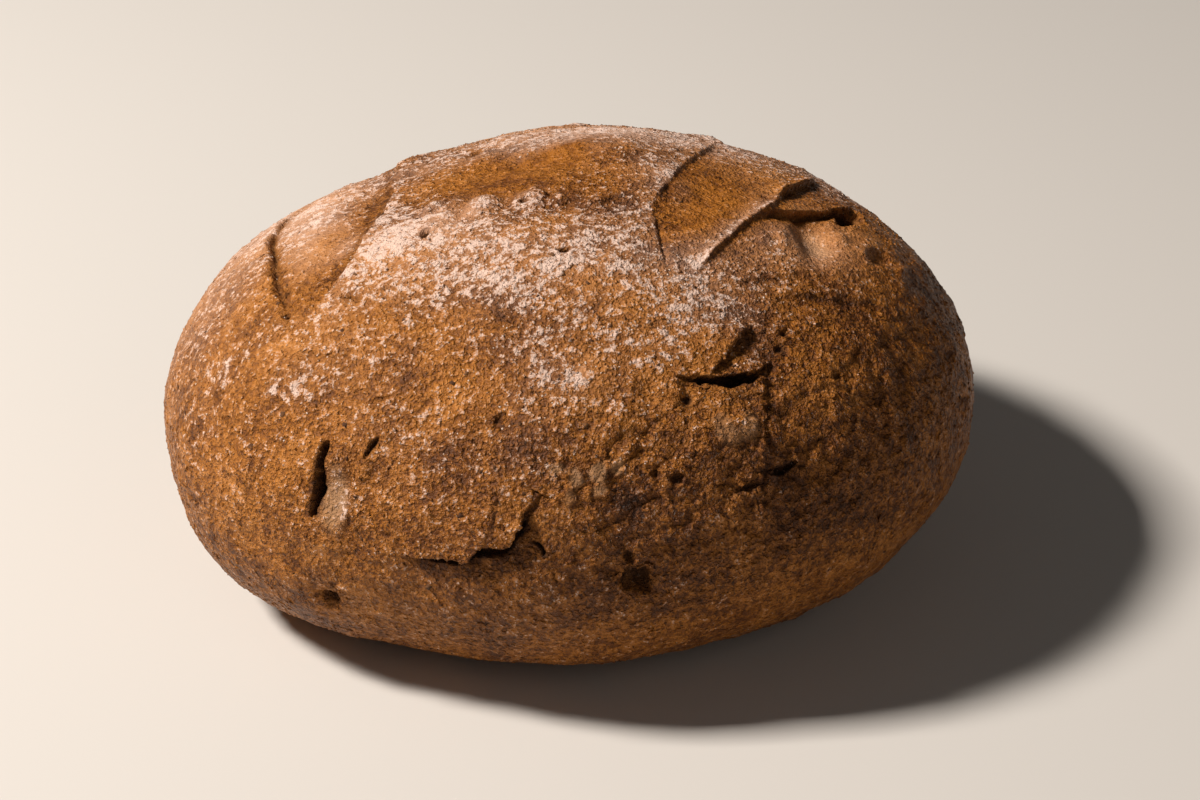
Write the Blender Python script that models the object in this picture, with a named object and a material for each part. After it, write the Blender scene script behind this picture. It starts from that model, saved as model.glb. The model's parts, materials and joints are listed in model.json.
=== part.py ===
"""A round sourdough loaf, baked with its folds upwards and dusted with flour, as one solid.

Metres, +Z up. The loaf stands on its flat base at z = 0, centred on the origin, with its longer
diameter along X and its front towards -Y. A place on the crust is a bearing and a lift in degrees,
seen from the point on the loaf's axis at the height of its girth: the bearing goes round from 0 at
the front to +90 at the right and -90 at the left, and the lift goes up from the level of the girth.
"""

import itertools
import math
from dataclasses import dataclass

import bmesh
import bpy
import numpy as np

# Driving sizes of the loaf
LOAF_WIDTH = 0.210
LOAF_DEPTH = 0.186
LOAF_HEIGHT = 0.103
GIRTH_HEIGHT = 0.046
UNDERSIDE_DEPTH = 0.055
TOP_FULLNESS = 2.10
UNDERSIDE_FULLNESS = 2.30
BASE_ROUNDING = 0.005

# The relief dies away between these heights above the flat base, and all below the flat height is flat
FOOT_START = 0.0004
FOOT_END = 0.0060
FLAT_HEIGHT = 0.0003

# Torn edges: how wide their steps are, how far past its ends a line acts, and how fast an overhang dies away
EDGE_SOFTNESS = 0.0005
LINE_STEP = 0.0005
END_REACH = 0.002
OVERHANG_FADE = 2.5
LEAST_FADE = 0.0005
RIM_WIDTH = 0.0012

# Pits and lumps up to this size have a finer mesh
SMALL_PATCH = 0.010

# Mesh: divisions of each face of the cube that is blown up to the loaf, how near to a feature each
# refinement reaches, and how many triangles are kept in the end
FACE_DIVISIONS = 52
FINE_MARGINS = (0.0050, 0.0022)
KEPT_TRIANGLES = 11400
POINTS_AT_ONCE = 4000

# Crust colour and finish
CRUST_COLOUR = (0.42, 0.20, 0.075, 1.0)
CRUST_ROUGHNESS = 0.82

# Noise: how many fixed draws it picks from, the factors that scramble a lattice cell, and its strength
SEED = 20
DRAWS = 1024
SCRAMBLE = (374761393, 668265263, 1274126177, 974634777, 1103515245)
NOISE_GAIN = 1.7
STRAY_SEED = 5
PATCH_SEED = 9


def unit(vectors):
    """The vectors at length 1."""
    return vectors / np.maximum(np.linalg.norm(vectors, axis=-1, keepdims=True), 1e-12)


_draw = np.random.default_rng(SEED)
SLOPES = unit(_draw.normal(size=(DRAWS, 3)))
OFFSETS = _draw.uniform(0.1, 0.9, size=(DRAWS, 3))
LEVELS = _draw.uniform(0.0, 1.0, size=DRAWS)


def ease(low, high, values):
    """0 below low and 1 above high, with a smooth climb between."""
    share = np.clip((values - low) / (high - low), 0.0, 1.0)
    return share * share * (3.0 - 2.0 * share)


def facing(bearing, lift):
    """The unit vector towards a bearing and a lift in degrees."""
    turn = np.radians(bearing)
    rise = np.radians(lift)
    return np.stack([np.sin(turn) * np.cos(rise), -np.cos(turn) * np.cos(rise), np.sin(rise)], axis=-1)


def draw_index(cells, seed):
    """A steady scramble of each lattice cell to one of the draws."""
    mixed = cells @ np.array(SCRAMBLE[:3]) + seed * SCRAMBLE[3]
    mixed = (mixed ^ (mixed >> 13)) * SCRAMBLE[4]
    return (mixed ^ (mixed >> 16)) % DRAWS


def rolling(points, size, seed):
    """Smooth noise from about -1 to 1, with lumps about size across."""
    cells = points / size
    corner = np.floor(cells).astype(np.int64)
    inside = cells - corner
    blend = inside**3 * (inside * (inside * 6.0 - 15.0) + 10.0)
    total = np.zeros(len(points))
    for step in itertools.product((0, 1), repeat=3):
        slope = SLOPES[draw_index(corner + step, seed)]
        weight = np.prod(np.where(step, blend, 1.0 - blend), axis=1)
        total += weight * np.sum(slope * (inside - step), axis=1)
    return total * NOISE_GAIN


def plates(points, size, seed):
    """Uneven plates about size across: each point's distance to its plate's border, and the plate's level."""
    cells = points / size
    corner = np.floor(cells).astype(np.int64)
    nearest = np.full(len(points), 9.0)
    second = np.full(len(points), 9.0)
    level = np.zeros(len(points))
    for step in itertools.product((-1, 0, 1), repeat=3):
        index = draw_index(corner + step, seed)
        gap = np.linalg.norm(cells - (corner + step + OFFSETS[index]), axis=1)
        closer = gap < nearest
        second = np.where(closer, nearest, np.minimum(second, gap))
        level = np.where(closer, LEVELS[index], level)
        nearest = np.where(closer, gap, nearest)
    return (second - nearest) * size, level


@dataclass(frozen=True)
class Lobe:
    """A broad swelling of the whole loaf, or a flat where its height is negative."""

    bearing: float
    lift: float
    spread: float
    height: float

    def rise(self, directions):
        """How far the lobe pushes the crust out in each direction."""
        cosine = np.clip(directions @ facing(self.bearing, self.lift), -1.0, 1.0)
        return self.height * np.exp(-((np.arccos(cosine) / math.radians(self.spread)) ** 2))


# The flat left shoulder, the full lower left cheek and the lean of the right and back
LOBES = (
    Lobe(-115, 38, 36, -0.0095),
    Lobe(-58, -20, 28, 0.0060),
    Lobe(-80, 0, 18, -0.0020),
    Lobe(100, 25, 40, -0.0020),
    Lobe(180, 60, 22, -0.0010),
)


def base_form(directions):
    """The smooth loaf in each direction: a full dome over a rounder underside, cut flat below."""
    above = directions[:, 2] >= 0
    half = np.where(above, LOAF_HEIGHT - GIRTH_HEIGHT, UNDERSIDE_DEPTH)
    fullness = np.where(above, TOP_FULLNESS, UNDERSIDE_FULLNESS)
    across = np.hypot(directions[:, 0] / (LOAF_WIDTH / 2), directions[:, 1] / (LOAF_DEPTH / 2))
    reach = (across**fullness + np.abs(directions[:, 2] / half) ** fullness) ** (-1.0 / fullness)
    for lobe in LOBES:
        reach = reach + lobe.rise(directions)
    points = directions * reach[:, None]
    height = points[:, 2] + GIRTH_HEIGHT
    rounded = (height + BASE_ROUNDING) ** 2 / (4 * BASE_ROUNDING)
    flattened = np.where(height > -BASE_ROUNDING, rounded, 0.0)
    points[:, 2] = np.where(height > BASE_ROUNDING, height, flattened)
    return points


def base_normals(directions):
    """The outward normals of the smooth loaf, from two small steps to the side."""
    small = 1e-3
    spare = np.where(np.abs(directions[:, 2:3]) > 0.9, [[1.0, 0.0, 0.0]], [[0.0, 0.0, 1.0]])
    first = unit(np.cross(spare, directions))
    other = np.cross(directions, first)
    one = base_form(unit(directions + small * first)) - base_form(unit(directions - small * first))
    two = base_form(unit(directions + small * other)) - base_form(unit(directions - small * other))
    return unit(np.cross(one, two))


class Crust:
    """The smooth loaf's points and normals, and the push that the relief adds to each point."""

    def __init__(self, directions):
        self.points = base_form(directions)
        self.normals = base_normals(directions)
        self.push = np.zeros_like(self.points)

    def lift_by(self, rise, which=slice(None)):
        """Moves points out along their normals."""
        self.push[which] += self.normals[which] * rise[:, None]

    def slide_by(self, shift, which=slice(None)):
        """Moves points by whole vectors."""
        self.push[which] += shift

    def shaped(self):
        """The points with all their relief, which dies away just above the flat base."""
        return self.points + self.push * ease(FOOT_START, FOOT_END, self.points[:, 2])[:, None]


def smooth_line(knots, step):
    """Points every step along a Catmull-Rom curve through the knots."""
    ends = np.concatenate([2 * knots[:1] - knots[1:2], knots, 2 * knots[-1:] - knots[-2:-1]])
    line = []
    for before, start, stop, after in zip(ends[:-3], ends[1:-2], ends[2:-1], ends[3:]):
        count = max(2, round(np.linalg.norm(stop - start) / step))
        t = np.linspace(0.0, 1.0, count, endpoint=False)[:, None]
        bend = 2 * before - 5 * start + 4 * stop - after
        twist = 3 * (start - stop) + after - before
        line.append(0.5 * (2 * start + (stop - before) * t + bend * t**2 + twist * t**3))
    return np.concatenate([*line, knots[-1:]])


class Line:
    """A line over the crust through places, and how other points of the crust lie to it."""

    def __init__(self, places):
        bearings, lifts = np.array(places, float).T
        self.points = smooth_line(base_form(facing(bearings, lifts)), LINE_STEP)
        self.tangents = unit(np.gradient(self.points, axis=0))
        travelled = np.cumsum(np.linalg.norm(np.diff(self.points, axis=0), axis=1))
        self.shares = np.concatenate([[0.0], travelled]) / travelled[-1]

    def near(self, points, reach):
        """The indices of the points within reach of the line's own box."""
        low = self.points.min(axis=0) - reach
        high = self.points.max(axis=0) + reach
        return np.nonzero(np.all((points > low) & (points < high), axis=1))[0]

    def closest(self, points):
        """For each point the index of the line's closest point, and the distance to it."""
        index = np.empty(len(points), np.int64)
        gap = np.empty(len(points))
        for first in range(0, len(points), POINTS_AT_ONCE):
            some = slice(first, first + POINTS_AT_ONCE)
            squares = ((points[some, None, :] - self.points[None, :, :]) ** 2).sum(axis=2)
            index[some] = squares.argmin(axis=1)
            gap[some] = np.sqrt(squares.min(axis=1))
        return index, gap

    def measure(self, points, normals):
        """For each point: how far along it lies, how far to the left, which way left is, how far past an end."""
        index, _ = self.closest(points)
        tangents = self.tangents[index]
        left = unit(np.cross(normals, tangents))
        away = points - self.points[index]
        beyond = np.abs(np.sum(away * tangents, axis=1))
        return self.shares[index], np.sum(away * left, axis=1), left, beyond


@dataclass(frozen=True)
class Stroke:
    """What every line-shaped feature has: its places, the shares of its length over which it fades in and
    out, the middle and spread of its strongest stretch, and how raggedly it strays from its line."""

    places: tuple
    fade: tuple = (0.2, 0.2)
    swell: tuple = (0.5, 10.0)
    ragged: float = 0.0003
    ragged_size: float = 0.0025
    softness: float = EDGE_SOFTNESS

    def traced(self, crust, reach):
        """The points within reach: their indices, strengths, distances to the left, and ways to the left."""
        line = Line(self.places)
        which = line.near(crust.points, reach)
        share, left, way, beyond = line.measure(crust.points[which], crust.normals[which])
        middle, spread = self.swell
        strength = ease(0.0, self.fade[0], share) * ease(0.0, self.fade[1], 1.0 - share)
        strength = strength * (1.0 - ease(0.0, END_REACH, beyond))
        strength = strength * np.exp(-(((share - middle) / spread) ** 2))
        left = left + self.ragged * rolling(crust.points[which], self.ragged_size, STRAY_SEED)
        return which, strength, left, way

    def core(self, points, margin):
        """Which points lie within a margin of the line."""
        line = Line(self.places)
        which = line.near(points, margin)
        found = np.zeros(len(points), bool)
        found[which] = line.closest(points[which])[1] < margin
        return found


@dataclass(frozen=True)
class Ledge(Stroke):
    """A torn edge of crust: the left side stands up and leans out over the sunk right side."""

    height: float = 0.0008
    drop: float = 0.0010
    back: float = 0.0060
    foot: float = 0.0030
    lean: float = 0.0006

    def apply(self, crust):
        """Raises the lip and sinks the foot."""
        which, strength, left, way = self.traced(crust, 3.5 * max(self.back, self.foot))
        upper = ease(-self.softness, self.softness, left)
        lip = upper * self.height * np.exp(-np.maximum(left, 0.0) / self.back)
        foot = (1.0 - upper) * self.drop * np.exp(np.minimum(left, 0.0) / self.foot)
        crust.lift_by((lip - foot) * strength, which)
        fade = max(OVERHANG_FADE * self.lean, LEAST_FADE)
        overhang = upper * self.lean * np.exp(-np.maximum(left, 0.0) / fade)
        crust.slide_by(-way * (overhang * strength)[:, None], which)


@dataclass(frozen=True)
class Slot(Stroke):
    """A crack with steep sides and a slightly raised rim."""

    width: float = 0.0012
    depth: float = 0.0015
    rim: float = 0.0002

    def apply(self, crust):
        """Sinks the crack and lifts its rims."""
        which, strength, left, _ = self.traced(crust, self.width + 3.0 * RIM_WIDTH)
        outside = np.abs(left) - self.width / 2 * strength
        wall = ease(-self.softness, self.softness / 2, outside)
        rims = wall * self.rim * np.exp(-np.maximum(outside, 0.0) / RIM_WIDTH)
        crust.lift_by((rims - (1.0 - wall) * self.depth) * strength, which)


@dataclass(frozen=True)
class Crease(Stroke):
    """A folded-in line, sharp at the bottom, or a pinched-up ridge where its depth is negative."""

    depth: float = 0.0010
    width: float = 0.0020

    def apply(self, crust):
        """Presses the fold in."""
        which, strength, left, _ = self.traced(crust, 4.0 * self.width)
        crust.lift_by(-self.depth * strength * np.exp(-np.abs(left) / self.width), which)


@dataclass(frozen=True)
class Patch:
    """An oval lump on the crust, or a pit where its height is negative, with a raised rim where it has one.

    Its length runs along the loaf's girth, turned by an angle, and a higher edge makes a flatter top.
    """

    bearing: float
    lift: float
    length: float
    breadth: float
    height: float
    turn: float = 0.0
    edge: float = 1.0
    uneven: float = 0.25
    rim: float = 0.0

    def placed(self, points):
        """The points near the patch, and their distance from its middle as a share of its size."""
        towards = facing(np.array([self.bearing]), np.array([self.lift]))
        middle = base_form(towards)[0]
        normal = base_normals(towards)[0]
        along = unit(np.cross([0.0, 0.0, 1.0], normal))
        up = np.cross(normal, along)
        turn = math.radians(self.turn)
        first = math.cos(turn) * along + math.sin(turn) * up
        other = np.cross(normal, first)
        reach = 3.0 * max(self.length, self.breadth)
        which = np.nonzero(np.linalg.norm(points - middle, axis=1) < reach)[0]
        away = points[which] - middle
        out = np.hypot(away @ first / (self.length / 2), away @ other / (self.breadth / 2))
        stray = self.uneven * rolling(points[which], 0.7 * min(self.length, self.breadth), PATCH_SEED)
        return which, out * (1.0 + stray)

    def apply(self, crust):
        """Raises the lump or sinks the pit."""
        which, out = self.placed(crust.points)
        body = np.exp(-(np.abs(out) ** (2.0 * self.edge)))
        ring = self.rim * np.exp(-(((out - 1.25) / 0.35) ** 2))
        crust.lift_by(self.height * body + ring, which)

    def core(self, points, margin):
        """Which points lie within a margin of the patch, where it is small enough to need it."""
        found = np.zeros(len(points), bool)
        size = max(self.length, self.breadth)
        if size < SMALL_PATCH:
            which, out = self.placed(points)
            found[which] = out < 1.0 + 2 * margin / size
        return found


@dataclass(frozen=True)
class Waves:
    """Gentle unevenness all over the crust."""

    size: float
    height: float
    seed: int

    def apply(self, crust):
        """Lifts and sinks the whole crust."""
        crust.lift_by(self.height * rolling(crust.points, self.size, self.seed))

    def core(self, points, margin):
        """No part of the waves is small."""
        return np.zeros(len(points), bool)


@dataclass(frozen=True)
class Crackle:
    """A field of crust that broke into uneven plates, with sunk joints between them."""

    bearing: float
    lift: float
    spread: float
    size: float
    step: float
    joint: float
    seed: int

    def apply(self, crust):
        """Sets the plates at uneven heights inside the field."""
        middle = base_form(facing(np.array([self.bearing]), np.array([self.lift])))[0]
        gap = np.linalg.norm(crust.points - middle, axis=1)
        which = np.nonzero(gap < 1.6 * self.spread)[0]
        strength = 1.0 - ease(0.6 * self.spread, 1.5 * self.spread, gap[which])
        points = crust.points[which]
        strayed = points + 0.25 * self.size * np.stack(
            [rolling(points, self.size * 0.8, self.seed + k) for k in range(3)], axis=1
        )
        border, level = plates(strayed, self.size, self.seed)
        sunk = self.joint * np.exp(-border / (0.12 * self.size))
        crust.lift_by((self.step * (level - 0.5) - sunk) * strength, which)

    def core(self, points, margin):
        """The plates are coarse enough for the plain mesh."""
        return np.zeros(len(points), bool)


# Unevenness of the whole loaf
UNEVENNESS = (
    Waves(0.055, 0.0016, 11),
    Waves(0.024, 0.0007, 12),
    Waves(0.011, 0.00035, 13),
)

# Folds of the dough over the top
FOLDS = (
    # Crescent on the left shoulder, its left side folded over
    Ledge(((-47, 20), (-58, 25), (-68, 27), (-80, 27), (-94, 25), (-120, 19)), fade=(0.32, 0.2),
          swell=(0.55, 0.45), ragged=0.0002, height=0.0012, drop=0.0021, back=0.014, foot=0.0045,
          lean=0.0008),
    # Soft step up from the left shoulder to the floury top, and the crisp line along it
    Ledge(((-140, 24), (-132, 31), (-118, 38), (-96, 43), (-76, 41), (-56, 33)), fade=(0.15, 0.35),
          ragged=0.0004, softness=0.0030, height=0.0016, drop=0.0010, back=0.018, foot=0.012, lean=0.0),
    Ledge(((-120, 38), (-96, 44), (-76, 42), (-56, 34)), fade=(0.3, 0.35), ragged=0.0004, height=0.0003,
          drop=0.0003, back=0.003, foot=0.003, lean=0.0002),
    # Shallow brown trough behind the top
    Crease(((-122, 64), (-159, 74), (119, 80), (76, 75)), fade=(0.25, 0.25), depth=0.0014, width=0.0060),
    # Edge of the top's plate at the upper right, with the groove and the fin beside it
    Ledge(((34, 47), (44, 57), (55, 63), (79, 65), (100, 61), (127, 50), (142, 30)), fade=(0.3, 0.15),
          height=0.0009, drop=0.0012, back=0.010, foot=0.0050, lean=0.0005),
    Crease(((35, 50), (50, 59), (72, 63)), fade=(0.3, 0.4), depth=0.0011, width=0.0010),
    Crease(((36, 53), (52, 62), (62, 65)), fade=(0.3, 0.3), depth=-0.0007, width=0.0009),
    # Sharp ridge below it, which turns into the lip of the right fold
    Crease(((34, 42), (48, 47), (67, 49)), fade=(0.3, 0.15), depth=-0.0012, width=0.0018),
    Ledge(((42, 45), (58, 48), (74, 48), (88, 43)), fade=(0.4, 0.12), height=0.0012, drop=0.0014,
          back=0.006, foot=0.0045, lean=0.0008),
    # Ear that stands up from the outline at the right
    Ledge(((84, 46), (102, 40), (120, 27)), fade=(0.2, 0.35), height=0.0021, drop=0.0012, back=0.005,
          foot=0.0045, lean=0.0008),
    # Overhanging lip round the hollow at the right
    Ledge(((76, 43), (84, 42), (94, 36), (98, 31), (95, 26), (90, 24)), ragged=0.0004, height=0.0010,
          drop=0.0026, back=0.006, foot=0.0042, lean=0.0015),
    # Long folds below the hollow
    Ledge(((36, 42), (53, 38), (70, 31), (78, 25)), fade=(0.25, 0.3), ragged=0.0006, height=0.0006,
          drop=0.0007, back=0.006, foot=0.005, lean=0.0004),
    Ledge(((46, 38), (60, 34), (74, 22)), fade=(0.3, 0.3), ragged=0.0006, height=0.0005, drop=0.0006,
          back=0.005, foot=0.004, lean=0.0003),
)

# Torn edges and cracks on the front
TEARS = (
    # Flake right of the middle: its jagged upper edge, its lower lip and the gap under the lip
    Ledge(((25, 26), (30, 28), (35, 30), (38, 31)), ragged=0.0005, height=0.0007, drop=0.0012, back=0.006,
          foot=0.005, lean=0.0008),
    Ledge(((23, 27), (29, 26), (36, 25), (40, 26)), swell=(0.45, 0.5), ragged=0.0005, height=0.0006,
          drop=0.0024, back=0.004, foot=0.0035, lean=0.0014),
    Slot(((25, 27), (29, 26), (34, 25)), fade=(0.35, 0.35), ragged=0.0004, width=0.0030, depth=0.0034),
    # Seam down from the flake
    Crease(((38, 25), (32, 17), (31, 6)), ragged=0.0007, depth=-0.0008, width=0.0012),
    # Upright crack at the lower left, the curled edge beside it and the slit above
    Slot(((-38, 15), (-38, 11), (-36, 3)), fade=(0.14, 0.14), width=0.0026, depth=0.0042, rim=0.0003),
    Ledge(((-32, 14), (-32, 10), (-30, 4)), height=0.0005, drop=0.0006, back=0.003, foot=0.003,
          lean=0.0004),
    Slot(((-29, 17), (-30, 16), (-31, 13)), fade=(0.3, 0.3), width=0.0016, depth=0.0012),
    # Flake across the lower front, and its deepest stretch
    Ledge(((-23, 1), (-17, 1), (-12, 3), (-8, 5), (-7, 9), (-2, 12), (7, 14), (16, 17)),
          fade=(0.12, 0.25), ragged=0.0005, height=0.0009, drop=0.0012, back=0.009, foot=0.005,
          lean=0.0008),
    Ledge(((-15, 2), (-12, 3), (-8, 5), (-6, 6)), fade=(0.3, 0.3), ragged=0.0004, height=0.0004,
          drop=0.0016, back=0.003, foot=0.003, lean=0.0010),
    # Thin cracks round that flake
    Slot(((-11, 13), (-10, 9), (-10, 5)), fade=(0.4, 0.1), width=0.0007, depth=0.0009),
    Slot(((-7, 5), (-4, 4), (-4, 2)), fade=(0.4, 0.3), width=0.0011, depth=0.0014),
    Slot(((-4, 1), (-3, -2)), fade=(0.4, 0.3), width=0.0010, depth=0.0011),
    # Slanting valleys left of the seam
    Crease(((11, 28), (6, 22)), fade=(0.4, 0.4), depth=0.0008, width=0.0013),
    Crease(((16, 22), (11, 17)), fade=(0.4, 0.4), depth=0.0008, width=0.0013),
    Slot(((31, 11), (34, 11), (37, 12)), fade=(0.3, 0.3), width=0.0016, depth=0.0018),
)

# Tears and folds on the sides and back, which carry on the same crust
FAR_TEARS = (
    Ledge(((136, 36), (148, 30), (160, 27), (172, 30), (-176, 34), (-164, 33)), fade=(0.2, 0.25),
          ragged=0.0006, height=0.0012, drop=0.0018, back=0.012, foot=0.007, lean=0.0010),
    Ledge(((-150, 12), (-158, 8), (-168, 9), (-176, 12), (176, 11), (168, 7)), ragged=0.0005,
          height=0.0008, drop=0.0016, back=0.008, foot=0.004, lean=0.0009),
    Slot(((150, 2), (153, 7), (154, 13), (157, 18)), fade=(0.25, 0.25), ragged=0.0004, width=0.0022,
         depth=0.0030),
    Slot(((-128, 4), (-124, 6), (-119, 5), (-114, 7)), fade=(0.3, 0.3), ragged=0.0004, width=0.0018,
         depth=0.0022),
    Ledge(((108, 4), (102, 8), (96, 9), (90, 7), (84, 9)), ragged=0.0005, height=0.0008, drop=0.0015,
          back=0.007, foot=0.004, lean=0.0008),
    Ledge(((62, 0), (67, 4), (73, 5), (79, 3)), ragged=0.0005, height=0.0006, drop=0.0012, back=0.006,
          foot=0.004, lean=0.0006),
    Crease(((-86, -4), (-92, 2), (-95, 9), (-101, 13)), fade=(0.35, 0.35), depth=0.0010, width=0.0020),
    Crease(((120, 10), (126, 16), (128, 24), (134, 31)), fade=(0.35, 0.35), depth=-0.0010, width=0.0018),
    Slot(((-172, -10), (-176, -7), (178, -8)), fade=(0.35, 0.35), width=0.0020, depth=0.0022),
)

# Hollow at the right: its pocket, its dark slot and dent, and the bumps round them
HOLLOW = (
    Patch(80, 36, 0.020, 0.010, -0.0034, turn=15, edge=1.4),
    Patch(98, 30, 0.0085, 0.0036, -0.0040, turn=-35, edge=1.6, rim=0.0006),
    Patch(84, 26, 0.0090, 0.0050, -0.0028, turn=-35, edge=1.4, rim=0.0004),
    Patch(85, 32, 0.0045, 0.0045, 0.0012),
    Patch(84, 22, 0.0070, 0.0026, 0.0012, turn=-20),
    Patch(72, 41, 0.0060, 0.0040, 0.0013, turn=20),
    Patch(68, 43, 0.0035, 0.0035, 0.0009),
)

# Blisters, dimples and pits on the top and the left
TOP_SPOTS = (
    Patch(-138, 34, 0.020, 0.012, 0.0016),
    Patch(-146, 47, 0.0048, 0.0040, -0.0016),
    Patch(-64, 67, 0.0125, 0.0075, 0.0015, turn=10, edge=1.8),
    Patch(-44, 73, 0.0085, 0.0075, 0.0011, edge=1.6),
    Patch(-20, 76, 0.0050, 0.0040, 0.0008, edge=1.5),
    Patch(-45, 75, 0.0018, 0.0015, -0.0012),
    Patch(-60, 52, 0.0024, 0.0018, -0.0016),
    Patch(0, 57, 0.0020, 0.0016, -0.0014),
    Patch(-38, 48, 0.0015, 0.0012, -0.0010),
    Patch(43, 71, 0.0090, 0.0060, -0.0010),
    Patch(-68, 28, 0.0030, 0.0026, -0.0012),
    Patch(-61, 26, 0.0022, 0.0020, -0.0012),
    Patch(-54, 34, 0.0034, 0.0012, -0.0012, turn=25),
    Patch(-62, 17, 0.0026, 0.0015, -0.0007, turn=50),
    Patch(-32, 22, 0.0030, 0.0010, -0.0008, turn=25),
    Patch(-11, 22, 0.0020, 0.0026, -0.0012, turn=-30),
)

# Scoop and bump beside the upright crack, and the two holes low on the front
LOW_SPOTS = (
    Patch(-35, 12, 0.0080, 0.0075, 0.0010, edge=1.4),
    Patch(-34, 8, 0.0105, 0.0140, -0.0014, edge=1.4),
    Patch(-32, 6, 0.0030, 0.0080, -0.0008, turn=-12, edge=1.5),
    Patch(10, -3, 0.0058, 0.0066, -0.0030, edge=2.0, uneven=0.45),
    Patch(-36, -12, 0.0058, 0.0040, -0.0024, turn=-20, edge=1.6, uneven=0.4),
)

# Flat flakes, chips and pits round the flake and the seam
CHIPS = (
    Patch(27, 19, 0.0055, 0.0105, 0.0006, turn=8, edge=3.0),
    Patch(31, 18, 0.0055, 0.0080, 0.0006, turn=-10, edge=3.0),
    Patch(22, 24, 0.0028, 0.0028, -0.0016, turn=30, edge=1.5),
    Patch(47, 29, 0.0024, 0.0018, -0.0014),
    Patch(44, 27, 0.0026, 0.0024, -0.0014),
    Patch(50, 20, 0.0026, 0.0018, -0.0012),
    Patch(4, 14, 0.0055, 0.0075, 0.0008, turn=10, edge=3.0),
    Patch(8, 15, 0.0038, 0.0050, 0.0009, turn=-25, edge=3.0),
    Patch(10, 17, 0.0048, 0.0030, 0.0007, turn=15, edge=2.5),
    Patch(3, 10, 0.0040, 0.0028, 0.0008, turn=-10, edge=2.5),
    Patch(14, 14, 0.0026, 0.0026, -0.0013, rim=0.0004),
    Patch(17, 13, 0.0036, 0.0040, -0.0022, edge=2.0, rim=0.0003),
    Patch(28, 10, 0.0050, 0.0018, -0.0016, turn=10),
    Patch(10, 10, 0.0060, 0.0042, -0.0010, turn=25),
)

# The same kinds of spot on the sides and back
FAR_SPOTS = (
    Patch(-150, -8, 0.0060, 0.0040, -0.0022, edge=1.6, uneven=0.4),
    Patch(170, 20, 0.0090, 0.0065, 0.0012, edge=1.6),
    Patch(-165, 22, 0.0030, 0.0024, -0.0014),
    Patch(140, 14, 0.0034, 0.0026, -0.0014),
    Patch(116, 16, 0.0060, 0.0045, 0.0009, edge=1.8),
    Patch(95, -8, 0.0055, 0.0038, -0.0020, edge=1.8, uneven=0.4),
    Patch(-100, 8, 0.0028, 0.0022, -0.0012),
    Patch(60, -6, 0.0045, 0.0034, -0.0016, edge=1.6, uneven=0.4),
)

# Where the crust broke into plates: two fields on the front right and two behind
CRACKLED = (
    Crackle(22, 8, 0.030, 0.0075, 0.0009, 0.0006, 31),
    Crackle(48, 12, 0.034, 0.0085, 0.0008, 0.0006, 32),
    Crackle(165, 15, 0.036, 0.0085, 0.0008, 0.0006, 33),
    Crackle(-140, -5, 0.026, 0.0080, 0.0007, 0.0005, 34),
)

SPOTS = (*HOLLOW, *TOP_SPOTS, *LOW_SPOTS, *CHIPS, *FAR_SPOTS)
RELIEF = (*UNEVENNESS, *FOLDS, *TEARS, *FAR_TEARS, *SPOTS, *CRACKLED)


def directions_of(bm):
    """The directions of a mesh's vertices from its middle."""
    return unit(np.array([v.co[:] for v in bm.verts], float))


def place_at(bm, positions):
    """Moves a mesh's vertices to new positions."""
    for vertex, position in zip(bm.verts, positions):
        vertex.co = position


def blown_up_cube():
    """A cube's even grid as directions, spread to suit the loaf's flat form."""
    bm = bmesh.new()
    bmesh.ops.create_cube(bm, size=2.0)
    bmesh.ops.subdivide_edges(bm, edges=bm.edges[:], cuts=FACE_DIVISIONS - 1, use_grid_fill=True)
    corners = np.array([v.co[:] for v in bm.verts], float)
    round_grid = unit(np.tan(corners * math.pi / 4))
    halves = np.array([LOAF_WIDTH / 2, LOAF_DEPTH / 2, LOAF_HEIGHT / 2])
    place_at(bm, unit(round_grid * halves))
    return bm


def refine_near_features(bm, margin):
    """Halves the mesh's faces within a margin of the cracks, edges and pits."""
    points = base_form(directions_of(bm))
    small = np.zeros(len(points), bool)
    for feature in RELIEF:
        small |= feature.core(points, margin)
    bm.verts.index_update()
    faces = [face for face in bm.faces if any(small[v.index] for v in face.verts)]
    edges = {edge for face in faces for edge in face.edges}
    bmesh.ops.subdivide_edges(bm, edges=list(edges), cuts=1, use_grid_fill=True)
    place_at(bm, directions_of(bm))


def loaf_mesh():
    """The loaf's fine mesh, with all its relief, standing on the origin."""
    bm = blown_up_cube()
    for margin in FINE_MARGINS:
        refine_near_features(bm, margin)
    crust = Crust(directions_of(bm))
    for feature in RELIEF:
        feature.apply(crust)
    shaped = crust.shaped()
    middle = (shaped.min(axis=0) + shaped.max(axis=0)) / 2
    place_at(bm, shaped - [middle[0], middle[1], 0.0])
    bmesh.ops.triangulate(bm, faces=bm.faces[:])
    bmesh.ops.recalc_face_normals(bm, faces=bm.faces[:])
    mesh = bpy.data.meshes.new("loaf")
    bm.to_mesh(mesh)
    bm.free()
    return mesh


def crust_material():
    """Baked crust: a matt golden brown."""
    material = bpy.data.materials.new("crust")
    material.use_nodes = True
    shader = material.node_tree.nodes["Principled BSDF"]
    shader.inputs["Base Color"].default_value = CRUST_COLOUR
    shader.inputs["Roughness"].default_value = CRUST_ROUGHNESS
    shader.inputs["Metallic"].default_value = 0.0
    return material


def thinned(loaf):
    """The loaf's mesh with fewer triangles where the crust is smooth, and a truly flat base."""
    thin = loaf.modifiers.new("thin_out", "DECIMATE")
    thin.ratio = KEPT_TRIANGLES / len(loaf.data.polygons)
    thin.use_collapse_triangulate = True
    mesh = bpy.data.meshes.new_from_object(loaf.evaluated_get(bpy.context.evaluated_depsgraph_get()))
    loaf.modifiers.remove(thin)
    for vertex in mesh.vertices:
        if vertex.co.z < FLAT_HEIGHT:
            vertex.co.z = 0.0
    return mesh


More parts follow.
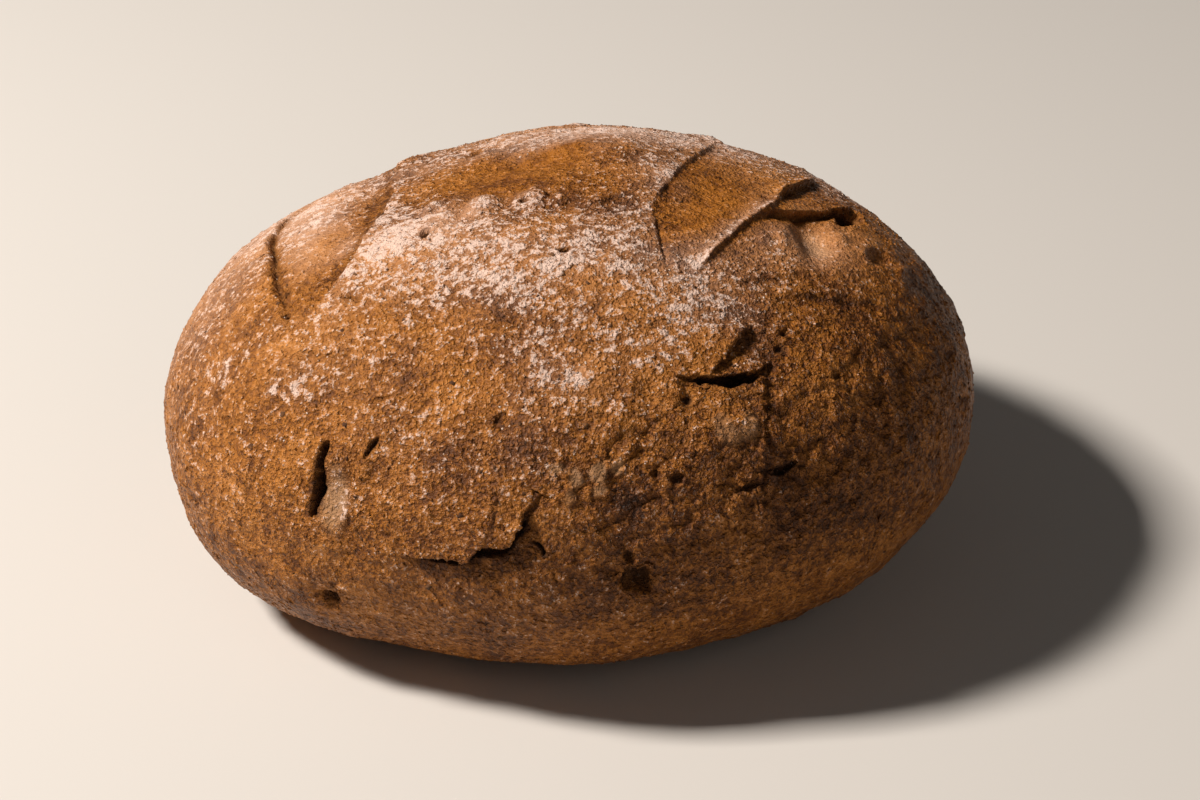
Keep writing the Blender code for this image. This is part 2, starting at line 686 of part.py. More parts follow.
def main():
    """Clears the scene and makes the loaf."""
    for item in list(bpy.data.objects):
        bpy.data.objects.remove(item, do_unlink=True)
    loaf = bpy.data.objects.new("loaf", loaf_mesh())
    bpy.context.scene.collection.objects.link(loaf)
    loaf.data = thinned(loaf)
    loaf.data.name = "loaf"
    loaf.data.materials.append(crust_material())
    loaf.data.shade_smooth()


if __name__ == "__main__":
    main()
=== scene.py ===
"""The looks of a round sourdough loaf: its torn, granular, floured crust, on a pale floor in soft light.

Metres, +Z up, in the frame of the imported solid: the loaf stands on z = 0 with its longer diameter along X
and its front towards -Y. A place on the crust is a bearing and a lift in degrees, seen from the point on
the loaf's axis at the height of its girth: the bearing goes round from 0 at the front to +90 at the right,
and the lift goes up from the level of the girth.
"""

import itertools
import json
import logging
import math
from dataclasses import dataclass, field
from enum import Enum
from typing import ClassVar, Sequence

import bmesh
import bpy
import numpy as np
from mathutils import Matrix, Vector

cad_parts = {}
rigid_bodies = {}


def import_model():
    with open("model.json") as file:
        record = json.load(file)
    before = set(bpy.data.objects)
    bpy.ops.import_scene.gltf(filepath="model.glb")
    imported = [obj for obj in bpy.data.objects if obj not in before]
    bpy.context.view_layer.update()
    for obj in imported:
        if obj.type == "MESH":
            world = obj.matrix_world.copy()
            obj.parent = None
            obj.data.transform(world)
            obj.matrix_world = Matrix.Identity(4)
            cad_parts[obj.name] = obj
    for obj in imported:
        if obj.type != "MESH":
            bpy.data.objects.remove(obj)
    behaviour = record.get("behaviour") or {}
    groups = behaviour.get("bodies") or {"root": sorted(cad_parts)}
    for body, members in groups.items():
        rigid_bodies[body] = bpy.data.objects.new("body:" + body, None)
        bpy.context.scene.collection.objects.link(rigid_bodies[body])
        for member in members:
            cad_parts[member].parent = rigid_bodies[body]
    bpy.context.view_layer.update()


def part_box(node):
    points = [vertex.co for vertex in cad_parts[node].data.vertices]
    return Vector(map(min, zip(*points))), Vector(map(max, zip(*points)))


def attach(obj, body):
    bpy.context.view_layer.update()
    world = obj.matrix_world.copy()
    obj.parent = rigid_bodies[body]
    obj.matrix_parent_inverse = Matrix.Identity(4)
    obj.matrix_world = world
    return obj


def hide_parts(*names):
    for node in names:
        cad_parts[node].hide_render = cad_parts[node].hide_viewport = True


log = logging.getLogger("loaf")

Array = np.ndarray
Colour = tuple[float, float, float]
Place = tuple[float, float]
Layer = tuple[float, float, float]
Socket = bpy.types.NodeSocket
Sockets = bpy.types.bpy_prop_collection

BODY = "root"
NODE = "loaf"

# Noise: how many fixed draws it picks from, the factors that scramble a lattice cell, and its strength
SEED = 20
DRAWS = 1024
SCRAMBLE = (374761393, 668265263, 1274126177, 974634777, 1103515245)
NOISE_GAIN = 1.7
STRAY_SEED = 5
PATCH_SEED = 9

# Torn edges: how wide their steps are, how finely their lines are drawn, how far past its ends a line
# acts, how fast an overhang dies away, and how deep a dent or a crack is before its painted shade is
# darkest
EDGE_SOFTNESS = 0.0003
LINE_STEP = 0.0005
END_REACH = 0.002
OVERHANG_FADE = 2.5
LEAST_FADE = 0.0005
RIM_WIDTH = 0.0012
POINTS_AT_ONCE = 4000
DARK_DENT = 0.0016
DARK_CRACK = 0.0012

# How far a pattern's cells are pulled out of shape, as a share of their size
CELL_STRAY = 0.9


def unit(vectors: Array) -> Array:
    """Returns the vectors at length 1."""
    return vectors / np.maximum(np.linalg.norm(vectors, axis=-1, keepdims=True), 1e-12)


def ease(low: float, high: float, values: Array) -> Array:
    """A smooth climb from 0 to 1.

    Args:
        low: the value below which the result is 0.
        high: the value above which the result is 1.
        values: the values to judge.

    Returns:
        One share from 0 to 1 for each value.
    """
    share = np.clip((values - low) / (high - low), 0.0, 1.0)
    return share * share * (3.0 - 2.0 * share)


def facing(bearing: float, lift: float) -> Array:
    """The unit vector towards a place on the crust.

    Args:
        bearing: degrees round from the front, positive to the right; a number or an array.
        lift: degrees above the girth; a number or an array.

    Returns:
        The vector, or one vector for each place.
    """
    turn = np.radians(bearing)
    rise = np.radians(lift)
    return np.stack([np.sin(turn) * np.cos(rise), -np.cos(turn) * np.cos(rise), np.sin(rise)], axis=-1)


class Noise:
    """Smooth and plate-like noise in space, the same at each run."""

    _draw = np.random.default_rng(SEED)
    slopes = unit(_draw.normal(size=(DRAWS, 3)))
    offsets = _draw.uniform(0.1, 0.9, size=(DRAWS, 3))
    levels = _draw.uniform(0.0, 1.0, size=DRAWS)

    @staticmethod
    def index(cells: Array, seed: int) -> Array:
        """A steady scramble of each lattice cell to one of the draws.

        Args:
            cells: whole lattice coordinates, one row for each point.
            seed: a number that sets one noise apart from the others.

        Returns:
            One index into the draws for each point.
        """
        mixed = cells @ np.array(SCRAMBLE[:3]) + seed * SCRAMBLE[3]
        mixed = (mixed ^ (mixed >> 13)) * SCRAMBLE[4]
        return (mixed ^ (mixed >> 16)) % DRAWS

    @classmethod
    def rolling(cls, points: Array, size: float, seed: int) -> Array:
        """Smooth noise from about -1 to 1.

        Args:
            points: where to read it.
            size: how far across its lumps are.
            seed: which noise it is.

        Returns:
            One value for each point.
        """
        cells = points / size
        corner = np.floor(cells).astype(np.int64)
        inside = cells - corner
        blend = inside**3 * (inside * (inside * 6.0 - 15.0) + 10.0)
        total = np.zeros(len(points))
        for step in itertools.product((0, 1), repeat=3):
            slope = cls.slopes[cls.index(corner + step, seed)]
            weight = np.prod(np.where(step, blend, 1.0 - blend), axis=1)
            total += weight * np.sum(slope * (inside - step), axis=1)
        return total * NOISE_GAIN

    @classmethod
    def plates(cls, points: Array, size: float, seed: int) -> tuple[Array, Array]:
        """Uneven plates with borders between them.

        Args:
            points: where to read them.
            size: how far across a plate is.
            seed: which plates they are.

        Returns:
            Each point's distance to its plate's border, and its plate's level from 0 to 1.
        """
        cells = points / size
        corner = np.floor(cells).astype(np.int64)
        nearest = np.full(len(points), np.inf)
        second = np.full(len(points), np.inf)
        level = np.zeros(len(points))
        for step in itertools.product((-1, 0, 1), repeat=3):
            index = cls.index(corner + step, seed)
            gap = np.linalg.norm(cells - (corner + step + cls.offsets[index]), axis=1)
            closer = gap < nearest
            second = np.where(closer, nearest, np.minimum(second, gap))
            level = np.where(closer, cls.levels[index], level)
            nearest = np.where(closer, gap, nearest)
        return (second - nearest) * size, level


@dataclass(frozen=True)
class Lobe:
    """A broad swelling of the whole loaf, or a flat where its height is negative."""

    bearing: float
    lift: float
    spread: float
    height: float

    def rise(self, directions: Array) -> Array:
        """Returns how far the lobe pushes the crust out in each direction."""
        cosine = np.clip(directions @ facing(self.bearing, self.lift), -1.0, 1.0)
        return self.height * np.exp(-((np.arccos(cosine) / math.radians(self.spread)) ** 2))


@dataclass(frozen=True)
class LoafForm:
    """The smooth loaf: a full dome over a rounder underside, cut flat below."""

    probe: ClassVar[float] = 1e-3
    steep: ClassVar[float] = 0.9

    width: float = 0.210
    depth: float = 0.186
    height: float = 0.103
    girth_height: float = 0.046
    underside_depth: float = 0.055
    top_fullness: float = 2.10
    underside_fullness: float = 2.30
    base_rounding: float = 0.005
    lobes: tuple[Lobe, ...] = (
        Lobe(-115, 38, 36, -0.0095),
        Lobe(-58, -20, 28, 0.0060),
        Lobe(-80, 0, 18, -0.0020),
        Lobe(100, 25, 40, -0.0020),
        Lobe(180, 60, 22, -0.0010),
    )

    def points(self, directions: Array) -> Array:
        """The smooth loaf's surface.

        Args:
            directions: vectors at length 1 from the loaf's middle.

        Returns:
            The surface's point in each direction.
        """
        above = directions[:, 2] >= 0
        half = np.where(above, self.height - self.girth_height, self.underside_depth)
        fullness = np.where(above, self.top_fullness, self.underside_fullness)
        across = np.hypot(directions[:, 0] / (self.width / 2), directions[:, 1] / (self.depth / 2))
        reach = (across**fullness + np.abs(directions[:, 2] / half) ** fullness) ** (-1.0 / fullness)
        for lobe in self.lobes:
            reach = reach + lobe.rise(directions)
        points = directions * reach[:, None]
        height = points[:, 2] + self.girth_height
        rounded = (height + self.base_rounding) ** 2 / (4 * self.base_rounding)
        flattened = np.where(height > -self.base_rounding, rounded, 0.0)
        points[:, 2] = np.where(height > self.base_rounding, height, flattened)
        return points

    def normals(self, directions: Array) -> Array:
        """The smooth loaf's outward normals, from small steps to the sides.

        Args:
            directions: vectors at length 1 from the loaf's middle.

        Returns:
            The surface's normal in each direction.
        """
        spare = np.where(np.abs(directions[:, 2:3]) > self.steep, [[1.0, 0.0, 0.0]], [[0.0, 0.0, 1.0]])
        first = unit(np.cross(spare, directions))
        spans = [
            self.points(unit(directions + self.probe * aside))
            - self.points(unit(directions - self.probe * aside))
            for aside in (first, np.cross(directions, first))
        ]
        return unit(np.cross(*spans))

    def place(self, bearing: float, lift: float) -> tuple[Array, Array]:
        """Returns the point and the normal at one place."""
        towards = facing(np.array([bearing]), np.array([lift]))
        return self.points(towards)[0], self.normals(towards)[0]


FORM = LoafForm()


class Channel(Enum):
    """The values that the crust's mesh carries for its finish."""

    FLOUR = "flour"
    # How dark the crust baked, with painted shade below torn edges and on the low front and right
    BAKE = "bake"
    BARE = "bare"
    # Painted shade in cracks, pits, joints and under lips, which also keeps flour and grains off them
    SUNK_SHADE = "sunk"
    FLAKY = "flaky"
    SMOOTH = "smooth"


class Relief:
    """The smooth loaf's points and normals, the push of its features, and what they do to its finish."""

    def __init__(self, directions: Array) -> None:
        """Starts from the smooth loaf.

        Args:
            directions: the way to each of the crust's points from the loaf's middle.
        """
        self.points = FORM.points(directions)
        self.normals = FORM.normals(directions)
        self.push = np.zeros_like(self.points)
        self.channels = {channel: np.zeros(len(directions)) for channel in Channel}

    def lift_by(self, rise: Array, which: Array | slice = slice(None)) -> None:
        """Moves points out along their normals."""
        self.push[which] += self.normals[which] * rise[:, None]

    def slide_by(self, shift: Array, which: Array | slice = slice(None)) -> None:
        """Moves points by whole vectors."""
        self.push[which] += shift

    def tint(self, channel: Channel, amount: Array, which: Array | slice = slice(None)) -> None:
        """Adds to one of the finish's values."""
        self.channels[channel][which] += amount

    def shaped(self, fade: tuple[float, float]) -> Array:
        """Returns the points with their relief, which dies away between two heights above the base."""
        return self.points + self.push * ease(fade[0], fade[1], self.points[:, 2])[:, None]


def smooth_line(knots: Array, step: float) -> Array:
    """Points along a smooth curve.

    Args:
        knots: the points that it goes through.
        step: about how far apart its points are.

    Returns:
        The curve's points.
    """
    ends = np.concatenate([2 * knots[:1] - knots[1:2], knots, 2 * knots[-1:] - knots[-2:-1]])
    line = []
    for before, start, stop, after in zip(ends[:-3], ends[1:-2], ends[2:-1], ends[3:]):
        count = max(2, round(np.linalg.norm(stop - start) / step))
        t = np.linspace(0.0, 1.0, count, endpoint=False)[:, None]
        bend = 2 * before - 5 * start + 4 * stop - after
        twist = 3 * (start - stop) + after - before
        line.append(0.5 * (2 * start + (stop - before) * t + bend * t**2 + twist * t**3))
    return np.concatenate([*line, knots[-1:]])


class Line:
    """A line over the crust through places, and how other points of the crust lie to it."""

    def __init__(self, places: Sequence[Place]) -> None:
        """Draws the line.

        Args:
            places: the bearings and lifts that it goes through.
        """
        bearings, lifts = np.array(places, float).T
        self.points = smooth_line(FORM.points(facing(bearings, lifts)), LINE_STEP)
        self.tangents = unit(np.gradient(self.points, axis=0))
        travelled = np.cumsum(np.linalg.norm(np.diff(self.points, axis=0), axis=1))
        self.shares = np.concatenate([[0.0], travelled]) / travelled[-1]

    def near(self, points: Array, reach: float) -> Array:
        """Which points lie within reach of the line's own box.

        Args:
            points: the points.
            reach: how far from the box they may lie.

        Returns:
            Their indices.
        """
        low = self.points.min(axis=0) - reach
        high = self.points.max(axis=0) + reach
        return np.nonzero(np.all((points > low) & (points < high), axis=1))[0]

    def closest(self, points: Array) -> tuple[Array, Array]:
        """The line's closest point for each point.

        Args:
            points: the points.

        Returns:
            The indices of the line's points, and the distances to them.
        """
        index = np.empty(len(points), np.int64)
        gap = np.empty(len(points))
        for first in range(0, len(points), POINTS_AT_ONCE):
            some = slice(first, first + POINTS_AT_ONCE)
            squares = ((points[some, None, :] - self.points[None, :, :]) ** 2).sum(axis=2)
            index[some] = squares.argmin(axis=1)
            gap[some] = np.sqrt(squares.min(axis=1))
        return index, gap

    def measure(self, points: Array, normals: Array) -> tuple[Array, Array, Array, Array]:
        """How points lie to the line.

        Args:
            points: the points.
            normals: the crust's normals there.

        Returns:
            How far along each point lies as a share, how far to the left, which way left is, and how far
            past an end.
        """
        index, _ = self.closest(points)
        tangents = self.tangents[index]
        left = unit(np.cross(normals, tangents))
        away = points - self.points[index]
        beyond = np.abs(np.sum(away * tangents, axis=1))
        return self.shares[index], np.sum(away * left, axis=1), left, beyond


@dataclass(frozen=True)
class Stroke:
    """What every line-shaped feature has: its places, the shares of its length over which it fades in and
    out, the middle and spread of its strongest stretch, and how raggedly it strays from its line."""

    places: tuple[Place, ...]
    fade: tuple[float, float] = (0.2, 0.2)
    swell: tuple[float, float] = (0.5, 10.0)
    ragged: float = 0.0003
    ragged_size: float = 0.0025
    softness: float = EDGE_SOFTNESS
    frayed: float = 0.00015

    fray_size: ClassVar[float] = 0.0014
    unevenness: ClassVar[float] = 0.35
    uneven_size: ClassVar[float] = 0.005

    def traced(self, crust: Relief, reach: float) -> tuple[Array, Array, Array, Array]:
        """How the crust lies to the line.

        Args:
            crust: the relief that is being shaped.
            reach: how far from the line the feature acts.

        Returns:
            The indices of the points within reach, their strengths from 0 to 1, their distances to the
            left, and the ways to the left.
        """
        line = Line(self.places)
        which = line.near(crust.points, reach)
        points = crust.points[which]
        share, left, way, beyond = line.measure(points, crust.normals[which])
        middle, spread = self.swell
        strength = ease(0.0, self.fade[0], share) * ease(0.0, self.fade[1], 1.0 - share)
        strength = strength * (1.0 - ease(0.0, END_REACH, beyond))
        strength = strength * np.exp(-(((share - middle) / spread) ** 2))
        uneven = Noise.rolling(points, self.uneven_size, STRAY_SEED + 2)
        strength = strength * (1.0 + self.unevenness * uneven)
        left = left + self.ragged * Noise.rolling(points, self.ragged_size, STRAY_SEED)
        left = left + self.frayed * Noise.rolling(points, self.fray_size, STRAY_SEED + 1)
        return which, strength, left, way

    def core(self, points: Array, margin: float) -> Array:
        """Which points lie close to the line.

        Args:
            points: the points of the smooth loaf.
            margin: how close they have to be.

        Returns:
            A yes or no for each point.
        """
        line = Line(self.places)
        which = line.near(points, margin)
        found = np.zeros(len(points), bool)
        found[which] = line.closest(points[which])[1] < margin
        return found


@dataclass(frozen=True)
class Ledge(Stroke):
    """A torn edge of crust: the left side stands up and leans out over the sunk right side."""

    fades: ClassVar[float] = 3.5

    height: float = 0.0008
    drop: float = 0.0010
    back: float = 0.0060
    foot: float = 0.0030
    lean: float = 0.0006
    gap: float = 0.0012
    foot_shade: float = 0.10

    def apply(self, crust: Relief) -> None:
        """Raises the lip and sinks the foot, with painted shade in the gap under it and browner below it.

        Args:
            crust: the relief that is being shaped.
        """
        which, strength, left, way = self.traced(crust, self.fades * max(self.back, self.foot))
        upper = ease(-self.softness, self.softness, left)
        lip = upper * self.height * np.exp(-np.maximum(left, 0.0) / self.back)
        foot = (1.0 - upper) * self.drop * np.exp(np.minimum(left, 0.0) / self.foot)
        crust.lift_by((lip - foot) * strength, which)
        fade = max(OVERHANG_FADE * self.lean, LEAST_FADE)
        overhang = upper * self.lean * np.exp(-np.maximum(left, 0.0) / fade)
        crust.slide_by(-way * (overhang * strength)[:, None], which)
        # Painted shade: the gap under the lip is darkened, and the sunk side below it browned
        gap = (1.0 - upper) * np.exp(np.minimum(left, 0.0) / min(self.foot, self.gap))
        crust.tint(Channel.SUNK_SHADE, gap * strength * min(1.0, self.drop / DARK_DENT), which)
        below = (1.0 - upper) * np.exp(np.minimum(left, 0.0) / self.foot)
        crust.tint(Channel.BAKE, self.foot_shade * below * strength, which)


@dataclass(frozen=True)
class Slot(Stroke):
    """A crack with steep sides and a slightly raised rim."""

    fades: ClassVar[float] = 3.0
    darkest: ClassVar[float] = 1.2

    width: float = 0.0012
    depth: float = 0.0015
    rim: float = 0.0002

    def apply(self, crust: Relief) -> None:
        """Sinks the crack, lifts its rims and paints shade inside it.

        Args:
            crust: the relief that is being shaped.
        """
        which, strength, left, _ = self.traced(crust, self.width + self.fades * RIM_WIDTH)
        outside = np.abs(left) - self.width / 2 * strength
        wall = ease(-self.softness, self.softness / 2, outside)
        rims = wall * self.rim * np.exp(-np.maximum(outside, 0.0) / RIM_WIDTH)
        crust.lift_by((rims - (1.0 - wall) * self.depth) * strength, which)
        # Painted shade inside the crack
        inside = 1.0 - ease(-self.softness, 2.0 * self.softness, outside)
        dark = min(self.darkest, self.depth / DARK_CRACK)
        crust.tint(Channel.SUNK_SHADE, inside * strength * dark, which)


@dataclass(frozen=True)
class Crease(Stroke):
    """A folded-in line, sharp at the bottom, or a pinched-up ridge where its depth is negative."""

    fades: ClassVar[float] = 4.0

    depth: float = 0.0010
    width: float = 0.0020
    shade: float = 0.0

    def apply(self, crust: Relief) -> None:
        """Presses the fold in, and paints shade along its bottom.

        Args:
            crust: the relief that is being shaped.
        """
        which, strength, left, _ = self.traced(crust, self.fades * self.width)
        near = strength * np.exp(-np.abs(left) / self.width)
        crust.lift_by(-self.depth * near, which)
        crust.tint(Channel.SUNK_SHADE, self.shade * near, which)


@dataclass(frozen=True)
class Drift(Stroke):
    """Flour that ends at a line: thick on its left side, and brushed off on its right side."""

    fades: ClassVar[float] = 3.0

    amount: float = 0.4
    brushed: float = 0.2
    reach: float = 0.012

    def apply(self, crust: Relief) -> None:
        """Adds and takes away flour.

        Args:
            crust: the relief that is being shaped.
        """
        which, strength, left, _ = self.traced(crust, self.fades * self.reach)
        upper = ease(-self.softness, self.softness, left)
        fade = np.exp(-np.abs(left) / self.reach)
        change = upper * self.amount - (1.0 - upper) * self.brushed
        crust.tint(Channel.FLOUR, change * fade * strength, which)


@dataclass(frozen=True)
class Patch:
    """An oval lump on the crust, or a pit where its height is negative, with a raised rim where it has one.

    Its length runs along the loaf's girth, turned by an angle, and a higher edge makes a flatter top.
    """

    bearing: float
    lift: float
    length: float
    breadth: float
    height: float = 0.0
    turn: float = 0.0
    edge: float = 1.0
    uneven: float = 0.25
    rim: float = 0.0

    small: ClassVar[float] = 0.0060
    near: ClassVar[float] = 3.0
    stray_size: ClassVar[float] = 0.7
    rim_place: ClassVar[float] = 1.25
    rim_spread: ClassVar[float] = 0.35

    def placed(self, points: Array) -> tuple[Array, Array]:
        """How points lie to the patch.

        Args:
            points: the points of the smooth loaf.

        Returns:
            The indices of the points near it, and their distances from its middle as shares of its size.
        """
        middle, normal = FORM.place(self.bearing, self.lift)
        along = unit(np.cross([0.0, 0.0, 1.0], normal))
        up = np.cross(normal, along)
        turn = math.radians(self.turn)
        first = math.cos(turn) * along + math.sin(turn) * up
        other = np.cross(normal, first)
        reach = self.near * max(self.length, self.breadth)
        which = np.nonzero(np.linalg.norm(points - middle, axis=1) < reach)[0]
        away = points[which] - middle
        out = np.hypot(away @ first / (self.length / 2), away @ other / (self.breadth / 2))
        size = self.stray_size * min(self.length, self.breadth)
        return which, out * (1.0 + self.uneven * Noise.rolling(points[which], size, PATCH_SEED))

    def apply(self, crust: Relief) -> None:
        """Raises the lump, or sinks the pit and paints shade into it when it is small.

        Args:
            crust: the relief that is being shaped.
        """
        which, out = self.placed(crust.points)
        body = np.exp(-(np.abs(out) ** (2.0 * self.edge)))
        ring = self.rim * np.exp(-(((out - self.rim_place) / self.rim_spread) ** 2))
        crust.lift_by(self.height * body + ring, which)
        # Painted shade in small pits
        if self.height < 0 and min(self.length, self.breadth) < self.small:
            crust.tint(Channel.SUNK_SHADE, body * min(1.0, -self.height / DARK_DENT), which)

    def core(self, points: Array, margin: float) -> Array:
        """Which points lie on the patch or close to it, where it is small enough to need a finer mesh.

        Args:
            points: the points of the smooth loaf.
            margin: how close they have to be.

        Returns:
            A yes or no for each point.
        """
        found = np.zeros(len(points), bool)
        size = max(self.length, self.breadth)
        if size < 2 * self.small:
            which, out = self.placed(points)
            found[which] = out < 1.0 + 2 * margin / size
        return found


@dataclass(frozen=True)
class Tint:
    """A soft oval area of one of the finish's values."""

    channel: Channel
    bearing: float
    lift: float
    length: float
    breadth: float
    amount: float
    turn: float = 0.0
    edge: float = 1.0
    uneven: float = 0.35

    def apply(self, crust: Relief) -> None:
        """Adds the area's value.

        Args:
            crust: the relief that is being shaped.
        """
        place = (self.bearing, self.lift, self.length, self.breadth)
        which, out = Patch(*place, turn=self.turn, uneven=self.uneven).placed(crust.points)
        crust.tint(self.channel, self.amount * np.exp(-(np.abs(out) ** (2.0 * self.edge))), which)


def tints(channel: Channel, *rows: Sequence[float]) -> tuple[Tint, ...]:
    """Returns a tint of one channel for each row of its other values."""
    return tuple(Tint(channel, *row) for row in rows)


@dataclass(frozen=True)
class Waves:
    """Gentle unevenness all over the crust."""

    size: float
    height: float
    seed: int

    def apply(self, crust: Relief) -> None:
        """Lifts and sinks the whole crust."""
        crust.lift_by(self.height * Noise.rolling(crust.points, self.size, self.seed))


@dataclass(frozen=True)
class Crackle:
    """A field of crust that broke into uneven plates, with sunk joints between them."""

    near: ClassVar[float] = 1.6
    whole: ClassVar[float] = 0.6
    gone: ClassVar[float] = 1.5
    warp: ClassVar[float] = 0.25
    warp_size: ClassVar[float] = 0.8
    joint_width: ClassVar[float] = 0.12
    joint_shade: ClassVar[float] = 0.35

    bearing: float
    lift: float
    spread: float
    size: float
    step: float
    joint: float
    seed: int

    def apply(self, crust: Relief) -> None:
        """Sets the plates at uneven heights inside the field.

        Args:
            crust: the relief that is being shaped.
        """
        middle, _ = FORM.place(self.bearing, self.lift)
        gap = np.linalg.norm(crust.points - middle, axis=1)
        which = np.nonzero(gap < self.near * self.spread)[0]
        strength = 1.0 - ease(self.whole * self.spread, self.gone * self.spread, gap[which])
        points = crust.points[which]
        strays = [Noise.rolling(points, self.size * self.warp_size, self.seed + k) for k in range(3)]
        warped = points + self.warp * self.size * np.stack(strays, axis=1)
        border, level = Noise.plates(warped, self.size, self.seed)
        sunk = np.exp(-border / (self.joint_width * self.size))
        crust.lift_by((self.step * (level - 0.5) - self.joint * sunk) * strength, which)
        crust.tint(Channel.SUNK_SHADE, self.joint_shade * sunk * strength, which)
        crust.tint(Channel.FLAKY, strength, which)


# Unevenness of the whole loaf, from its broad swells to its granular skin
UNEVENNESS = (
    Waves(0.055, 0.0016, 11),
    Waves(0.024, 0.0007, 12),
    Waves(0.011, 0.00035, 13),
    Waves(0.0062, 0.00034, 14),
    Waves(0.0036, 0.00024, 15),
    Waves(0.0022, 0.00016, 16),
)

# Lines that more than one feature follows: the crisp line along the left shoulder, the edge of the top's
# plate, the thin ridge below it, and the edge of the flake across the lower front
SHOULDER_LINE = ((-120, 38), (-112, 42), (-96, 44), (-80, 43), (-66, 39), (-58, 31))
PLATE_EDGE = ((36, 52), (43, 58), (54, 64), (64, 66), (80, 66), (106, 62), (128, 50))
THIN_RIDGE = ((35, 44), (48, 47), (64, 48), (76, 47), (88, 44), (101, 40))
DEEP_FLAKE_EDGE = ((-14, 1.9), (-11.8, 4.4), (-8, 4.6), (-7, 7.1), (-5, 10.1))

# Pale chips left of the seam: bearing, lift, length, breadth, height, turn, and how far their crumb shows,
# on all but a narrow margin
PALE_CHIPS = (
    (-1, 15.4, 0.0036, 0.0030, 0.0006, 20, 0.60),
    (2, 14.1, 0.0036, 0.0048, 0.0007, 10, 0.60),
    (5.5, 15.0, 0.0040, 0.0056, 0.0007, -15, 0.70),
    (8.5, 15.6, 0.0030, 0.0046, 0.0007, -25, 0.70),
    (5.5, 12.2, 0.0042, 0.0026, 0.0006, 15, 0.60),
    (1, 11.5, 0.0026, 0.0036, 0.0006, -10, 0.40),
)
CHIP_MARGIN = 0.0002

# Folds of the dough over the top
FOLDS = (
    # Crescent on the left shoulder, its left side folded over
    Ledge(((-52, 23), (-60, 26), (-65, 27), (-73, 27), (-88, 26), (-100, 23), (-114, 21), (-124, 19)),
          fade=(0.32, 0.2), swell=(0.55, 0.45), ragged=0.00005, frayed=0.0, softness=0.0012,
          height=0.0013, drop=0.0010, back=0.010, foot=0.0050, lean=0.0),
    Crease(((-57, 25), (-64, 26.7), (-73, 27), (-88, 26), (-100, 23), (-112, 21), (-118, 20)),
           fade=(0.15, 0.15), ragged=0.00005, frayed=0.0, depth=0.0016, width=0.0006, shade=0.50),
    # Soft step up from the left shoulder to the floury top, and the crisp line along it
    Ledge(((-140, 24), (-132, 31), (-118, 38), (-96, 43), (-76, 41), (-56, 33)), fade=(0.40, 0.35),
          ragged=0.0004, softness=0.0045, height=0.0013, drop=0.0009, back=0.018, foot=0.012, lean=0.0),
    Ledge(SHOULDER_LINE, fade=(0.3, 0.3), ragged=0.0004, softness=0.0008, height=0.0005, drop=0.0004,
          back=0.0020, foot=0.003, lean=0.0),
    # Brown trough behind the top, with its raised far edge
    Crease(((-112, 55), (-130, 60), (-156, 73), (127, 79), (85, 70)), fade=(0.25, 0.25), depth=0.0015,
           width=0.0055),
    Crease(((-128, 50), (-150, 58), (-180, 66), (145, 66), (112, 64)), fade=(0.3, 0.3), depth=-0.0009,
           width=0.0045),
    # Edge of the top's plate at the upper right, with the groove and the fin beside it
    Ledge((*PLATE_EDGE, (140, 34)), fade=(0.12, 0.15), softness=0.0009, height=0.0005, drop=0.0006,
          back=0.010, foot=0.0060, lean=0.0),
    Crease(((32, 47), (36, 52), (43, 58), (52, 63)), fade=(0.2, 0.3), ragged=0.0002, depth=0.0011,
           width=0.0007),
    # Thin straight ridge below it, pinched up between two shaded slopes
    Ledge((*THIN_RIDGE, (110, 34)), fade=(0.2, 0.15), ragged=0.0002, softness=0.0008, height=0.0004,
          drop=0.0004, back=0.0040, foot=0.0070, lean=0.0),
    Crease(THIN_RIDGE, fade=(0.2, 0.15), ragged=0.0002, depth=-0.0010, width=0.0008),
    # Ear that stands up from the outline at the right
    Ledge(((94, 43), (101, 40), (112, 33), (120, 26)), fade=(0.25, 0.35), height=0.0018, drop=0.0009,
          back=0.0040, foot=0.0045, lean=0.0004),
    # Overhanging lip round the hollow at the right
    Ledge(((76, 46), (84, 44), (91, 39), (96, 34), (100, 31), (100, 28), (96, 26)), fade=(0.25, 0.15),
          ragged=0.0003, softness=0.0005, height=0.0009, drop=0.0026, back=0.006, foot=0.0048,
          lean=0.0012),
    # Soft folds below the hollow
    *(
        Ledge(places, fade=(0.3, 0.3), ragged=0.0010, softness=0.0016, height=0.0005, drop=0.0005,
              back=0.005, foot=0.004, lean=0.0)
        for places in (((40, 41), (52, 39), (62, 35), (72, 29)), ((45, 36), (56, 33), (66, 27), (72, 20)))
    ),
)

